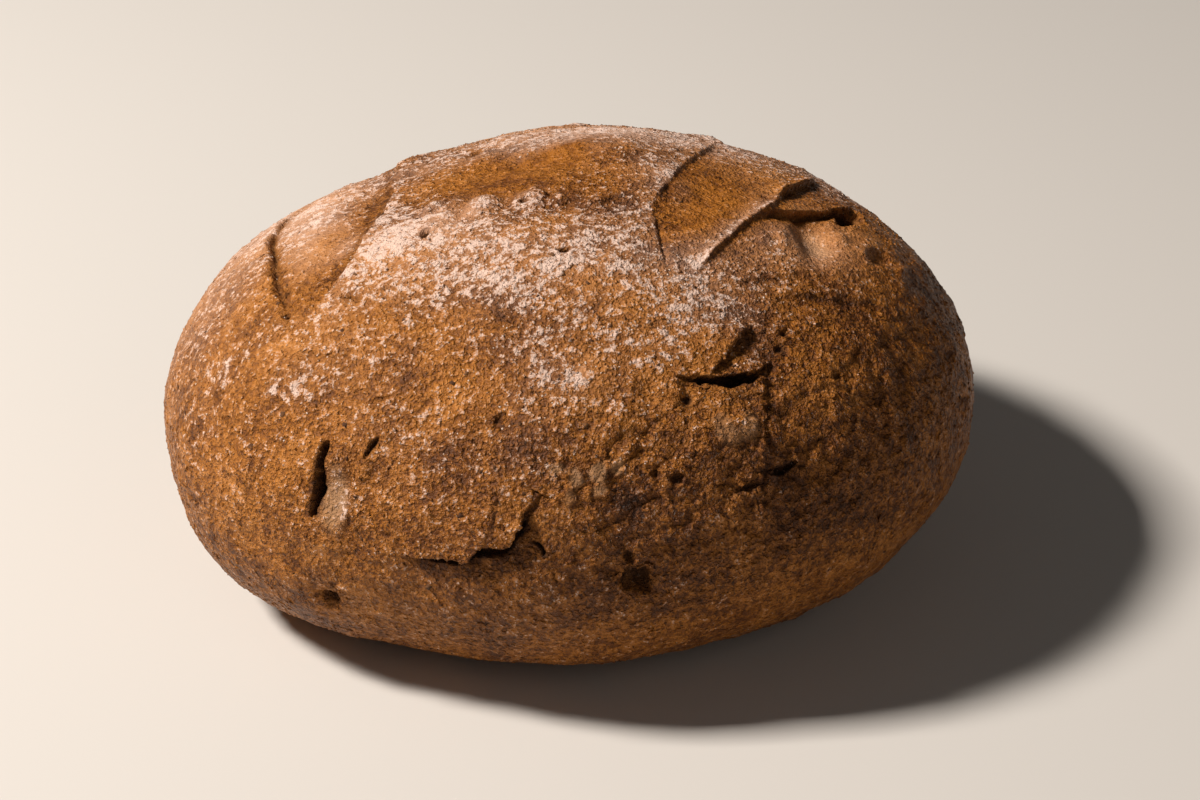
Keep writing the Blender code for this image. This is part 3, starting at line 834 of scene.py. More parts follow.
# Torn edges and cracks on the front
TEARS = (
    # Flake right of the middle: the jagged edge where it broke off, and the gap under its lower lip
    Ledge(((27.5, 27.2), (29.8, 28.4), (32.5, 29.4), (35.8, 30.7), (39, 31.9), (43, 32.8)),
          fade=(0.15, 0.25), ragged=0.0005, height=0.0009, drop=0.0010, back=0.005, foot=0.009,
          lean=0.0004, gap=0.0004),
    Ledge(((20.5, 27.8), (25, 27.6), (29, 26.8), (33, 26.2), (38, 25.8), (42, 26.4)), fade=(0.15, 0.15),
          swell=(0.45, 0.6), ragged=0.0005, height=0.0006, drop=0.0024, back=0.003, foot=0.0036,
          lean=0.0012),
    Slot(((22.5, 27.0), (27, 26.5), (30.5, 25.3), (34, 24.9), (39, 24.6)), fade=(0.30, 0.30), ragged=0.0005,
         width=0.0032, depth=0.0032),
    # Seam down from the flake
    Ledge(((28.5, 4), (30.5, 12), (32.5, 17), (35.5, 22), (38, 25)), ragged=0.0006, height=0.0010,
          drop=0.0003, back=0.0018, foot=0.0040, lean=0.0002, gap=0.0004, foot_shade=0.05),
    # Upright crack at the lower left, the curled edge beside it and the slit above
    Slot(((-37.8, 15), (-37.4, 10.5), (-36.9, 6.5), (-37.2, 2.8)), fade=(0.14, 0.10), softness=0.0005,
         width=0.0021, depth=0.0036, rim=0.0003),
    Ledge(((-31.4, 15), (-32.3, 10), (-31.2, 5), (-30.6, 1)), ragged=0.0003, softness=0.0004,
          height=0.0008, drop=0.0007, back=0.003, foot=0.003, lean=0.0),
    Slot(((-29, 17), (-30, 16), (-31, 13)), fade=(0.3, 0.3), width=0.0016, depth=0.0012),
    # Flake across the lower front, and its deepest stretch
    Ledge(((-23.2, 0.9), (-20.5, 1.1), (-17.5, 1.6), *DEEP_FLAKE_EDGE, (-3.3, 11.9), (-1, 13)),
          fade=(0.08, 0.30), ragged=0.0003, height=0.0010, drop=0.0012, back=0.009, foot=0.005,
          lean=0.0006, gap=0.0020, foot_shade=0.20),
    Ledge(((-16, 1.8), *DEEP_FLAKE_EDGE), fade=(0.25, 0.25), ragged=0.0003, height=0.0004, drop=0.0022,
          back=0.003, foot=0.0036, lean=0.0010, gap=0.0032, foot_shade=0.15),
    # The gap under that flake's lip, painted dark as shade, widest where the lip stands off most
    Slot(((-21.5, 0.3), (-17.5, 0.8), (-14.2, 1.0), (-12, 3.4), (-8, 3.7), (-6.3, 6.4), (-4.3, 9.6),
          (-3, 11)), fade=(0.15, 0.35), ragged=0.0002, width=0.0013, depth=0.0014),
    Slot(((-13.4, 1.2), (-11.8, 2.8), (-9.5, 3.1), (-7.2, 3.4)), fade=(0.3, 0.25), ragged=0.0002,
         width=0.0030, depth=0.0024),
    # Thin cracks round that flake
    Slot(((-11, 13), (-10, 9), (-10, 5)), fade=(0.4, 0.1), width=0.0004, depth=0.0006),
    Slot(((-5, 5), (-3, 4.2), (-2.6, 2)), fade=(0.4, 0.3), width=0.0008, depth=0.0012),
    Slot(((-1.5, 1), (-1, -1), (0, -1)), fade=(0.4, 0.3), width=0.0005, depth=0.0007),
    # Slanting valleys left of the seam
    Crease(((11, 28), (6, 22)), fade=(0.4, 0.4), depth=0.0008, width=0.0013),
    Crease(((16, 22), (11, 17)), fade=(0.4, 0.4), depth=0.0008, width=0.0013),
    Slot(((31, 11), (34, 11), (37, 12)), fade=(0.3, 0.3), width=0.0016, depth=0.0018),
)

# Tears and folds on the sides and back, which carry on the same crust
FAR_TEARS = (
    Ledge(((136, 36), (148, 30), (160, 27), (172, 30), (-176, 34), (-164, 33)), fade=(0.2, 0.25),
          ragged=0.0009, softness=0.0009, height=0.0012, drop=0.0016, back=0.012, foot=0.007, lean=0.0003),
    Ledge(((-150, 12), (-158, 8), (-168, 9), (-176, 12), (176, 11), (168, 7)), ragged=0.0009,
          softness=0.0009, height=0.0008, drop=0.0014, back=0.008, foot=0.004, lean=0.0003),
    Slot(((150, 2), (153, 7), (154, 13), (157, 18)), fade=(0.25, 0.25), ragged=0.0004, width=0.0022,
         depth=0.0030),
    Slot(((-128, 4), (-124, 6), (-119, 5), (-114, 7)), fade=(0.3, 0.3), ragged=0.0004, width=0.0018,
         depth=0.0022),
    Ledge(((84, 9), (90, 7), (96, 9), (102, 8), (108, 4)), ragged=0.0009, softness=0.0009,
          height=0.0006, drop=0.0011, back=0.007, foot=0.004, lean=0.0003),
    Ledge(((62, 0), (67, 4), (73, 5), (79, 3)), ragged=0.0009, softness=0.0009, height=0.0005,
          drop=0.0010, back=0.006, foot=0.004, lean=0.0003),
    Crease(((-86, -4), (-92, 2), (-95, 9), (-101, 13)), fade=(0.35, 0.35), depth=0.0010, width=0.0020),
    Crease(((120, 10), (126, 16), (128, 24), (134, 31)), fade=(0.35, 0.35), depth=-0.0010,
           width=0.0018),
    Slot(((-172, -10), (-176, -7), (178, -8)), fade=(0.35, 0.35), width=0.0020, depth=0.0022),
)

# Hollow at the right: its pocket, its slot painted dark as shade, its dent, and the bumps round them
HOLLOW = (
    Patch(80, 36, 0.020, 0.010, -0.0034, turn=15, edge=1.4),
    Patch(97, 29.5, 0.0105, 0.0050, -0.0042, turn=-35, edge=1.6, rim=0.0006),
    Patch(84, 25.5, 0.0100, 0.0062, -0.0018, turn=-35, edge=1.3, rim=0.0003),
    Patch(85, 32, 0.0045, 0.0045, 0.0012),
    Patch(84, 22, 0.0070, 0.0026, 0.0012, turn=-20),
    Patch(72, 41, 0.0060, 0.0040, 0.0013, turn=20),
    Patch(68, 43, 0.0035, 0.0035, 0.0009),
)

# Blisters, dimples and pits on the top and the left
TOP_SPOTS = (
    Patch(-138, 34, 0.020, 0.012, 0.0016),
    Patch(-146, 47, 0.0048, 0.0040, -0.0016),
    Patch(-66, 67, 0.0130, 0.0090, 0.0007, turn=10, edge=2.6, uneven=0.15, rim=-0.0007),
    Patch(-44, 77, 0.0100, 0.0090, 0.0006, edge=2.2, uneven=0.15, rim=-0.0006),
    Patch(-80, 56, 0.0070, 0.0050, 0.0012, turn=-20, edge=1.8, rim=-0.0003),
    Patch(-10, 79, 0.0070, 0.0050, 0.0012, edge=1.8, rim=-0.0004),
    Patch(30, 76, 0.0060, 0.0048, 0.0010, edge=1.8, rim=-0.0003),
    Patch(-45, 75, 0.0018, 0.0015, -0.0012),
    Patch(-60, 52, 0.0032, 0.0024, -0.0022, edge=1.5),
    Patch(0, 57, 0.0027, 0.0020, -0.0018, edge=1.5),
    Patch(-38, 48, 0.0015, 0.0012, -0.0010),
    Patch(43, 71, 0.0090, 0.0060, -0.0010),
    Patch(-68, 28, 0.0030, 0.0026, -0.0012),
    Patch(-61, 26, 0.0022, 0.0020, -0.0012),
    Patch(-54, 34, 0.0034, 0.0012, -0.0012, turn=25),
    Patch(-62, 17, 0.0026, 0.0015, -0.0007, turn=50),
    Patch(-32, 22, 0.0030, 0.0010, -0.0008, turn=25),
    Patch(-11, 22, 0.0020, 0.0026, -0.0012, turn=-30),
)

# Scoop and bump beside the upright crack, and the two holes low on the front
LOW_SPOTS = (
    Patch(-35, 12, 0.0080, 0.0075, 0.0010, edge=1.4),
    Patch(-34, 8, 0.0105, 0.0140, -0.0014, edge=1.4),
    Patch(-32, 6, 0.0030, 0.0080, 0.0010, turn=-12, edge=1.5),
    Patch(11, -2, 0.0059, 0.0066, -0.0040, edge=2.0, uneven=0.7),
    Patch(9.5, 2, 0.0022, 0.0030, -0.0020, edge=1.6, uneven=0.5),
    Patch(-35.5, -10.5, 0.0058, 0.0046, -0.0030, turn=-20, edge=1.8, uneven=0.5),
)

# Flat flakes, chips and pits round the flake and the seam
CHIPS = (
    Patch(26.5, 18.5, 0.0058, 0.0090, 0.0008, turn=8, edge=4.0),
    Patch(30.3, 18, 0.0055, 0.0080, 0.0008, turn=-10, edge=4.0),
    Patch(22, 24, 0.0028, 0.0028, -0.0016, turn=30, edge=1.5),
    Patch(47, 29, 0.0024, 0.0018, -0.0014),
    Patch(44, 27, 0.0026, 0.0024, -0.0014),
    Patch(50, 20, 0.0026, 0.0018, -0.0012),
    *(Patch(*chip[:6], edge=4.0, uneven=0.6, rim=0.0002) for chip in PALE_CHIPS),
    Patch(11, 18, 0.0046, 0.0030, 0.0007, turn=15, edge=2.5, uneven=0.4),
    Patch(14, 14, 0.0026, 0.0022, -0.0009, uneven=0.5, rim=0.0004),
    Patch(17, 13, 0.0034, 0.0026, -0.0014, turn=20, edge=1.5, uneven=0.5, rim=0.0003),
    Patch(28, 10, 0.0050, 0.0018, -0.0016, turn=10),
    Patch(10, 10, 0.0060, 0.0042, -0.0006, turn=25),
)

# The same kinds of spot on the sides and back
FAR_SPOTS = (
    Patch(-150, -8, 0.0060, 0.0040, -0.0022, edge=1.6, uneven=0.4),
    Patch(170, 20, 0.0090, 0.0065, 0.0012, edge=1.6),
    Patch(-165, 22, 0.0030, 0.0024, -0.0014),
    Patch(140, 14, 0.0034, 0.0026, -0.0014),
    Patch(116, 16, 0.0060, 0.0045, 0.0009, edge=1.8),
    Patch(95, -8, 0.0055, 0.0038, -0.0020, edge=1.8, uneven=0.4),
    Patch(-100, 8, 0.0028, 0.0022, -0.0012),
    Patch(60, -6, 0.0045, 0.0034, -0.0016, edge=1.6, uneven=0.4),
)

# Where the crust broke into plates: two fields on the front right and two behind
CRACKLED = (
    Crackle(22, 8, 0.030, 0.0075, 0.0009, 0.0006, 31),
    Crackle(48, 12, 0.034, 0.0085, 0.0008, 0.0006, 32),
    Crackle(165, 4, 0.032, 0.0085, 0.0008, 0.0006, 33),
    Crackle(-140, -5, 0.026, 0.0080, 0.0007, 0.0005, 34),
)

# The rows of a tint are its bearing, lift, length, breadth and amount, and its turn, edge and unevenness
# where they aren't the usual ones. How thickly flour lies: the floury top, the shoulder line, the sides and
# back, and where it was brushed off
DUSTED = tints(
    Channel.FLOUR,
    (-60, 46, 0.036, 0.030, 0.30),
    (-72, 42, 0.026, 0.016, 0.26, 25),
    (-45, 57, 0.060, 0.034, 0.26),
    (-10, 62, 0.070, 0.036, 0.18),
    (22, 60, 0.050, 0.036, 0.16),
    (-20, 46, 0.060, 0.034, 0.12),
    (165, 52, 0.100, 0.034, 0.36),
    (100, 66, 0.040, 0.020, 0.30),
    (-80, 20, 0.070, 0.050, 0.16),
    (-110, 26, 0.060, 0.046, 0.38),
    (-66, 67, 0.0125, 0.0074, 0.40, 10, 2.0),
    (-44, 77, 0.0090, 0.0078, 0.36, 0, 2.0),
    (-80, 57, 0.0055, 0.0040, 0.35, -20),
    (-46, 25, 0.040, 0.024, 0.16),
    (3, 29, 0.0050, 0.0060, 0.55),
    (-34, 8, 0.0090, 0.0130, 0.12, 0, 1.6),
    (-32.5, 5.5, 0.0040, 0.0070, 0.28, -12),
    (-47, 19, 0.0018, 0.0038, 0.60),
    (-51, 17, 0.0024, 0.0024, 0.45),
    (-64, 16, 0.0030, 0.0034, 0.40),
    (30, 38, 0.0140, 0.0090, 0.22),
    (22, 34, 0.0160, 0.0080, 0.14),
    (44, 40, 0.036, 0.018, 0.14),
    (58, 35, 0.040, 0.020, 0.12),
    (8, 30, 0.060, 0.034, 0.16),
    (-24, 14, 0.040, 0.030, 0.06),
    (170, 30, 0.110, 0.050, 0.30),
    (130, 22, 0.080, 0.050, 0.18),
    (-150, 76, 0.060, 0.015, -0.40),
    (-128, 62, 0.030, 0.016, -0.35),
    (-84, 36, 0.026, 0.010, -0.12, 20),
    (70, 56, 0.040, 0.020, -0.25),
    (70, 10, 0.110, 0.070, -0.10),
    (0, -20, 0.200, 0.030, -0.08),
)

# How dark the crust is: pale left shoulders and a darker low front and right, partly baking and partly
# painted light and shade; the brown trough and the scorched spots
BAKED_AND_SHADED = tints(
    Channel.BAKE,
    (-95, 25, 0.110, 0.080, -0.12),
    (-85, 34, 0.040, 0.016, -0.16, 20),
    (-150, 76, 0.060, 0.015, 0.05),
    (10, 5, 0.080, 0.050, 0.12),
    (75, 10, 0.110, 0.070, 0.12),
    (-30, -22, 0.150, 0.036, 0.10),
    (-28, 20, 0.0110, 0.0090, 0.16),
    (-20, 16, 0.0110, 0.0090, 0.14),
    (-15, 41, 0.0100, 0.0070, 0.20),
    (-13, 34, 0.0110, 0.0080, 0.18),
    (-23, 44, 0.0080, 0.0060, 0.18),
    (43, 71, 0.0110, 0.0080, 0.25),
    (10, 10, 0.0140, 0.0110, 0.20),
)

# Where the soft inside shows: the pocket beside the upright crack, the hollow at the right, the two flat
# flakes under the gap and the pale chips
TORN_OPEN = tints(
    Channel.BARE,
    (-34.2, 6.5, 0.0070, 0.0150, 0.8, 0, 2.0, 0.2),
    (80, 36, 0.0160, 0.0080, 0.7, 15, 1.8),
    (26.3, 18.3, 0.0050, 0.0076, 0.42, 8, 3.0),
    (30.2, 17.9, 0.0050, 0.0070, 0.42, -10, 3.0),
    *(
        (bearing, lift, length - CHIP_MARGIN, breadth - CHIP_MARGIN, bared, turn, 2.5)
        for bearing, lift, length, breadth, _, turn, bared in PALE_CHIPS
    ),
)

# Where the crust is smooth: the left end, the lens between the crescent and the plate, the trough, the
# folds at the upper right and the hollow
SMOOTHED = tints(
    Channel.SMOOTH,
    (-86, 34, 0.046, 0.018, 0.75, 20, 1.5),
    (-112, 16, 0.080, 0.060, 0.55, 0, 1.5),
    (-150, 74, 0.080, 0.018, 0.60, 0, 1.5),
    (165, 52, 0.080, 0.030, 0.50, 0, 1.5),
    (80, 52, 0.060, 0.034, 0.70, 0, 1.5),
    (82, 33, 0.030, 0.024, 0.80, 0, 1.5),
)

# Where flour ends at a line: the shoulder line, the plate's edge and the thin ridge
DRIFTS = (
    Drift((*SHOULDER_LINE, (-52, 26)), fade=(0.25, 0.25), softness=0.0006, amount=0.26, brushed=0.24,
          reach=0.011),
    Drift(PLATE_EDGE, softness=0.0008, amount=0.24, brushed=0.24, reach=0.010),
    Drift(THIN_RIDGE, fade=(0.15, 0.2), softness=0.0008, amount=0.40, brushed=0.10, reach=0.0022),
)

SPOTS = (*HOLLOW, *TOP_SPOTS, *LOW_SPOTS, *CHIPS, *FAR_SPOTS)
FINISHING = (*DUSTED, *BAKED_AND_SHADED, *TORN_OPEN, *SMOOTHED, *DRIFTS)


@dataclass(frozen=True)
class ScatteredPits:
    """Small burst bubbles all over the crust, by a seeded rule."""

    count: int = 90
    smallest: float = 0.0009
    largest: float = 0.0026
    narrowest: float = 0.6
    sunk: float = 0.45
    rim: float = 0.06
    lowest_lift: float = -25.0
    seed: int = 41

    def features(self) -> list[Patch]:
        """Draws the pits, evenly spread over the crust.

        Returns:
            The pits.
        """
        draw = np.random.default_rng(self.seed)
        low = math.sin(math.radians(self.lowest_lift))
        pits = []
        for _ in range(self.count):
            lift = math.degrees(math.asin(draw.uniform(low, 1.0)))
            bearing = draw.uniform(-180.0, 180.0)
            size = self.smallest + (self.largest - self.smallest) * draw.uniform() ** 2
            breadth = size * draw.uniform(self.narrowest, 1.0)
            pits.append(Patch(bearing, lift, size, breadth, -self.sunk * size, rim=self.rim * size))
        return pits


@dataclass(frozen=True)
class ScatteredScars:
    """Short torn lines all over the crust, by a seeded rule."""

    count: int = 70
    shortest: float = 3.0
    longest: float = 9.0
    lowest_lift: float = -25.0
    highest_lift: float = 62.0
    bow: float = 0.35
    folded_every: int = 3
    seed: int = 42

    def features(self) -> list[Stroke]:
        """Draws the scars, evenly spread over the crust: torn edges, and a fold at every third place.

        Returns:
            The scars.
        """
        draw = np.random.default_rng(self.seed)
        low = math.sin(math.radians(self.lowest_lift))
        high = math.sin(math.radians(self.highest_lift))
        scars: list[Stroke] = []
        for k in range(self.count):
            lift = math.degrees(math.asin(draw.uniform(low, high)))
            bearing = draw.uniform(-180.0, 180.0)
            turn = draw.uniform(0.0, 2.0 * math.pi)
            reach = draw.uniform(self.shortest, self.longest) / 2
            bow = draw.uniform(-self.bow, self.bow) * reach
            squeeze = math.cos(math.radians(lift))
            along = np.array([math.cos(turn) / squeeze, math.sin(turn)])
            aside = np.array([-math.sin(turn) / squeeze, math.cos(turn)])
            middle = np.array([bearing, lift])
            knots = (middle - reach * along, middle + bow * aside, middle + reach * along)
            places = tuple((float(knot[0]), float(knot[1])) for knot in knots)
            torn = Ledge(places, fade=(0.35, 0.35), height=0.0003, drop=0.0005, back=0.003, foot=0.002,
                         lean=0.0003)
            folded = Crease(places, fade=(0.4, 0.4), depth=0.0006, width=0.0009)
            scars.append(torn if k % self.folded_every else folded)
        return scars


class Net:
    """A node tree that is being wired."""

    def __init__(self, tree: bpy.types.NodeTree) -> None:
        """Starts from a tree."""
        self.tree = tree

    def add(self, kind: str, settings: dict | None = None, **inputs: object) -> bpy.types.Node:
        """Adds a node.

        Args:
            kind: the node's type.
            settings: the node's own properties.
            inputs: what goes into its sockets, by name with _ for a space, as a value or another socket.

        Returns:
            The node.
        """
        node = self.tree.nodes.new(kind)
        for name, value in (settings or {}).items():
            setattr(node, name, value)
        for name, value in inputs.items():
            self.feed(node.inputs[name.replace("_", " ")], value)
        return node

    def feed(self, socket: Socket, value: object) -> None:
        """Puts something into a socket.

        Args:
            socket: the socket.
            value: a value, or another socket to link it to.
        """
        if isinstance(value, Socket):
            self.tree.links.new(value, socket)
        else:
            socket.default_value = value

    def math(self, operation: str, *values: object, clamp: bool = False) -> Socket:
        """Adds a calculation.

        Args:
            operation: what it does.
            values: what it works on, as values or sockets.
            clamp: whether its result is kept from 0 to 1.

        Returns:
            Its result.
        """
        node = self.add("ShaderNodeMath", {"operation": operation, "use_clamp": clamp})
        for socket, value in zip(node.inputs, values):
            self.feed(socket, value)
        return node.outputs[0]

    def between(self, value: object, low: object, high: object) -> Socket:
        """Adds a smooth climb from 0 to 1.

        Args:
            value: what is judged.
            low: where the result is 0; it may lie above the other limit.
            high: where the result is 1.

        Returns:
            The result.
        """
        node = self.add("ShaderNodeMapRange", {"interpolation_type": "SMOOTHSTEP"})
        for name, given in (("Value", value), ("From Min", low), ("From Max", high)):
            self.feed(node.inputs[name], given)
        return node.outputs["Result"]

    def mixed(self, share: object, first: object, second: object) -> Socket:
        """Adds a mix of two colours.

        Args:
            share: how much of the second colour shows.
            first: the first colour, as three values or a socket.
            second: the second colour.

        Returns:
            The mixed colour.
        """
        node = self.add("ShaderNodeMix", {"data_type": "RGBA"})
        self.feed(node.inputs["Factor"], share)
        for name, given in (("A", first), ("B", second)):
            socket = next(s for s in node.inputs if s.name == name and s.type == "RGBA")
            self.feed(socket, (*given, 1.0) if isinstance(given, tuple) else given)
        return next(s for s in node.outputs if s.type == "RGBA")

    def strayed(self, place: object, colour: object, reach: object) -> Socket:
        """Moves a place about.

        Args:
            place: the place.
            colour: a noise's colour, which sets the way.
            reach: twice the farthest that it moves along each axis.

        Returns:
            The moved place.
        """
        centred = self.add("ShaderNodeVectorMath", {"operation": "SUBTRACT"})
        self.feed(centred.inputs[0], colour)
        centred.inputs[1].default_value = (0.5, 0.5, 0.5)
        shift = self.add("ShaderNodeVectorMath", {"operation": "SCALE"})
        self.feed(shift.inputs[0], centred.outputs[0])
        self.feed(shift.inputs["Scale"], reach)
        moved = self.add("ShaderNodeVectorMath", {"operation": "ADD"})
        self.feed(moved.inputs[0], place)
        self.feed(moved.inputs[1], shift.outputs[0])
        return moved.outputs[0]

    def noise(self, place: object, scale: object, detail: float, roughness: float = 0.5) -> bpy.types.Node:
        """Returns a noise node of a given scale and detail."""
        return self.add(
            "ShaderNodeTexNoise", Vector=place, Scale=scale, Detail=detail, Roughness=roughness
        )

    def cells(self, place: object, scale: object, feature: str = "F1") -> Sockets:
        """Returns the outputs of a cell pattern, told by its nearest cell or by its borders."""
        return self.add("ShaderNodeTexVoronoi", {"feature": feature}, Vector=place, Scale=scale).outputs

    def warped(self, given: Sockets, scale: Socket, coarseness: float, detail: float) -> Socket:
        """Moves a group's place about by up to about half a grain, so that its cells aren't round.

        Args:
            given: the group's inputs.
            scale: the group's scale, one over its size.
            coarseness: the scale of the moves, as a share of the group's.
            detail: the detail of the moves.

        Returns:
            The moved place.
        """
        warp = self.noise(given["Place"], self.math("MULTIPLY", scale, coarseness), detail)
        reach = self.math("MULTIPLY", given["Size"], CELL_STRAY)
        return self.strayed(given["Place"], warp.outputs["Color"], reach)

    def layer(self, place: object, scale: Socket, layer: Layer) -> Socket:
        """Adds one layer of a group's noise.

        Args:
            place: where it is read.
            scale: the group's scale, one over its size.
            layer: the layer's scale as a share of the group's, its detail and its roughness.

        Returns:
            Its value.
        """
        share, detail, roughness = layer
        return self.noise(place, self.math("MULTIPLY", scale, share), detail, roughness).outputs[0]

    def group(self, tree: bpy.types.NodeTree, **inputs: object) -> Sockets:
        """Returns the outputs of a shader node group, which is added with the given inputs."""
        return self.add("ShaderNodeGroup", {"node_tree": tree}, **inputs).outputs


def new_group(
    name: str, inputs: dict[str, float | None], outputs: Sequence[str]
) -> tuple[Net, Sockets, Socket]:
    """Starts a shader node group that works at a place and a size.

    Args:
        name: the group's name.
        inputs: each input's name and usual value, or none for a vector. One of them is the size.
        outputs: the names of its outputs, which are single values.

    Returns:
        The group's tree, ready to be wired; its inputs inside it; and one over its size.
    """
    tree = bpy.data.node_groups.new(name, "ShaderNodeTree")
    for label, value in inputs.items():
        kind = "NodeSocketVector" if value is None else "NodeSocketFloat"
        socket = tree.interface.new_socket(label, in_out="INPUT", socket_type=kind)
        if value is not None:
            socket.default_value = value
    for label in outputs:
        tree.interface.new_socket(label, in_out="OUTPUT", socket_type="NodeSocketFloat")
    net = Net(tree)
    given = net.add("NodeGroupInput").outputs
    return net, given, net.math("DIVIDE", 1.0, given["Size"])


@dataclass(frozen=True)
class GrainGroup:
    """The crumbly grain of the crust: rounded crumbs with gaps between them, as a height from 0 to 1."""

    warp: tuple[float, float] = (0.8, 1.0)
    knob_slope: float = -1.35
    knob_top: float = 1.05
    clumps: Layer = (0.55, 3.0, 0.6)
    clump_edges: tuple[float, float] = (0.38, 0.62)
    fine: Layer = (2.0, 2.0, 0.6)
    knob_share: float = 0.42
    clump_share: float = 0.38
    fine_share: float = 0.30
    gap_heights: tuple[float, float] = (0.56, 0.26)
    top_heights: tuple[float, float] = (0.56, 0.84)

    def tree(self) -> bpy.types.NodeTree:
        """Builds the group.

        Returns:
            Its tree.
        """
        inputs = {"Place": None, "Size": 0.001}
        net, given, scale = new_group("crust_grain", inputs, ("Height", "Gaps", "Tops"))
        moved = net.warped(given, scale, *self.warp)
        nearest = net.cells(moved, scale)["Distance"]
        knobs = net.math("MULTIPLY_ADD", nearest, self.knob_slope, self.knob_top, clamp=True)
        islands = net.between(net.layer(moved, scale, self.clumps), *self.clump_edges)
        fine = net.layer(moved, scale, self.fine)
        coarse = net.math("MULTIPLY", islands, self.clump_share)
        coarse = net.math("MULTIPLY_ADD", knobs, self.knob_share, coarse)
        height = net.math("MULTIPLY_ADD", fine, self.fine_share, coarse)
        gaps = net.between(height, *self.gap_heights)
        net.add("NodeGroupOutput", Height=height, Gaps=gaps, Tops=net.between(height, *self.top_heights))
        return net.tree


@dataclass(frozen=True)
class PlateGroup:
    """Small flakes of crust at uneven levels with crisp borders, as a height from 0 to 1."""

    warp: tuple[float, float] = (1.3, 2.0)
    joint_width: float = 0.06
    joint_depth: float = 0.15
    dish: float = 0.45

    def tree(self) -> bpy.types.NodeTree:
        """Builds the group.

        Returns:
            Its tree.
        """
        net, given, scale = new_group("crust_plates", {"Place": None, "Size": 0.003}, ("Height", "Joint"))
        moved = net.warped(given, scale, *self.warp)
        cells = net.cells(moved, scale)
        border = net.cells(moved, scale, "DISTANCE_TO_EDGE")["Distance"]
        level = net.add("ShaderNodeSeparateColor", Color=cells["Color"]).outputs[0]
        joint = net.between(border, self.joint_width, 0.0)
        dished = net.math("MULTIPLY_ADD", cells["Distance"], self.dish, level)
        height = net.math("MULTIPLY_ADD", joint, -self.joint_depth, dished)
        net.add("NodeGroupOutput", Height=height, Joint=joint)
        return net.tree


@dataclass(frozen=True)
class DustingGroup:
    """Where flour lies: a mask that is patchy at a finger's breadth and grainy up close."""

    clouds: Layer = (0.10, 3.0, 0.6)
    puffs: Layer = (0.55, 4.0, 0.7)
    specks: Layer = (2.8, 2.0, 0.7)
    cloud_contrast: float = 3.0
    cloud_floor: float = 0.60
    grain_share: float = 0.9
    height_share: float = 0.7
    contrast: float = 1.2
    floor: float = 0.97
    edge: tuple[float, float] = (0.10, 0.28)

    def tree(self) -> bpy.types.NodeTree:
        """Builds the group.

        Returns:
            Its tree.
        """
        inputs = {"Place": None, "Density": 0.4, "Size": 0.001, "Height": 0.5}
        net, given, scale = new_group("flour_dusting", inputs, ("Mask",))
        layers = (self.clouds, self.puffs, self.specks)
        clouds, puffs, specks = (net.layer(given["Place"], scale, layer) for layer in layers)
        patchy = net.math("MULTIPLY_ADD", clouds, self.cloud_contrast, -self.cloud_floor)
        density = net.math("MULTIPLY", given["Density"], patchy, clamp=True)
        uneven = net.math("MULTIPLY", specks, self.grain_share)
        uneven = net.math("MULTIPLY_ADD", puffs, self.grain_share, uneven)
        total = net.math("MULTIPLY_ADD", given["Height"], self.height_share, uneven)
        level = net.math("MULTIPLY_ADD", total, self.contrast, -self.floor)
        bound = net.math("SUBTRACT", 1.0, density)
        low = net.math("SUBTRACT", bound, self.edge[0])
        net.add("NodeGroupOutput", Mask=net.between(level, low, net.math("ADD", bound, self.edge[1])))
        return net.tree


def new_material(name: str) -> tuple[bpy.types.Material, Net, bpy.types.Node]:
    """Starts a material.

    Args:
        name: its name.

    Returns:
        The material, its tree ready to be wired, and its shader.
    """
    material = bpy.data.materials.new(name)
    material.use_nodes = True
    return material, Net(material.node_tree), material.node_tree.nodes["Principled BSDF"]


@dataclass(frozen=True)
class CrustFinish:
    """Baked crust: golden to deep brown, granular and floured, with pale crumb where it tore open."""

    grains: bpy.types.NodeTree
    dusting: bpy.types.NodeTree
    plates: bpy.types.NodeTree
    pale: Colour = (0.560, 0.225, 0.050)
    golden: Colour = (0.370, 0.130, 0.016)
    brown: Colour = (0.140, 0.042, 0.005)
    scorched: Colour = (0.040, 0.013, 0.004)
    crumb: Colour = (0.460, 0.270, 0.140)
    # The colour of the painted shade in cracks, pits and the gaps under lips
    depth: Colour = (0.030, 0.011, 0.004)
    flour: Colour = (0.740, 0.560, 0.480)
    baked_at: tuple[float, float, float, float] = (0.05, 0.34, 0.66, 1.0)
    bake_level: float = 0.30
    blotches: tuple[tuple[float, float, float], ...] = ((0.020, 0.60, 0.80), (0.0050, 0.65, 0.32))
    blotch_detail: float = 3.0
    # Painted shade in the grains' gaps and painted light on their tops
    coarse_gap_shade: float = 0.22
    fine_gap_shade: float = 0.12
    top_light: float = 0.13
    joints: float = 0.2
    grain_size: float = 0.0011
    fine_size: float = 0.0006
    plate_size: float = 0.0034
    grain_height: float = 0.00105
    fine_height: float = 0.00035
    plate_height: float = 0.0009
    flour_floor: float = 0.17
    flour_cover: float = 0.84
    sunk_shade_cover: float = 0.9
    bare_cover: float = 0.8
    veil_slope: float = 1.5
    veil_floor: float = 0.30
    veil_calm: float = 0.60
    veil_haze: float = 0.12
    smooth_calm: float = 0.65
    smooth_haze: float = 0.9
    bare_calm: float = 0.6
    roughness_brown: float = 0.44
    roughness_floury: float = 0.95
    specular: float = 0.24

    def material(self) -> bpy.types.Material:
        """Builds the crust's material.

        Returns:
            The material.
        """
        material, net, shader = new_material("crust")
        wiring = CrustWiring(self, net)
        net.feed(shader.inputs["Base Color"], wiring.colour())
        net.feed(shader.inputs["Roughness"], wiring.roughness())
        net.feed(shader.inputs["Normal"], wiring.normal())
        shader.inputs["Specular IOR Level"].default_value = self.specular
        return material


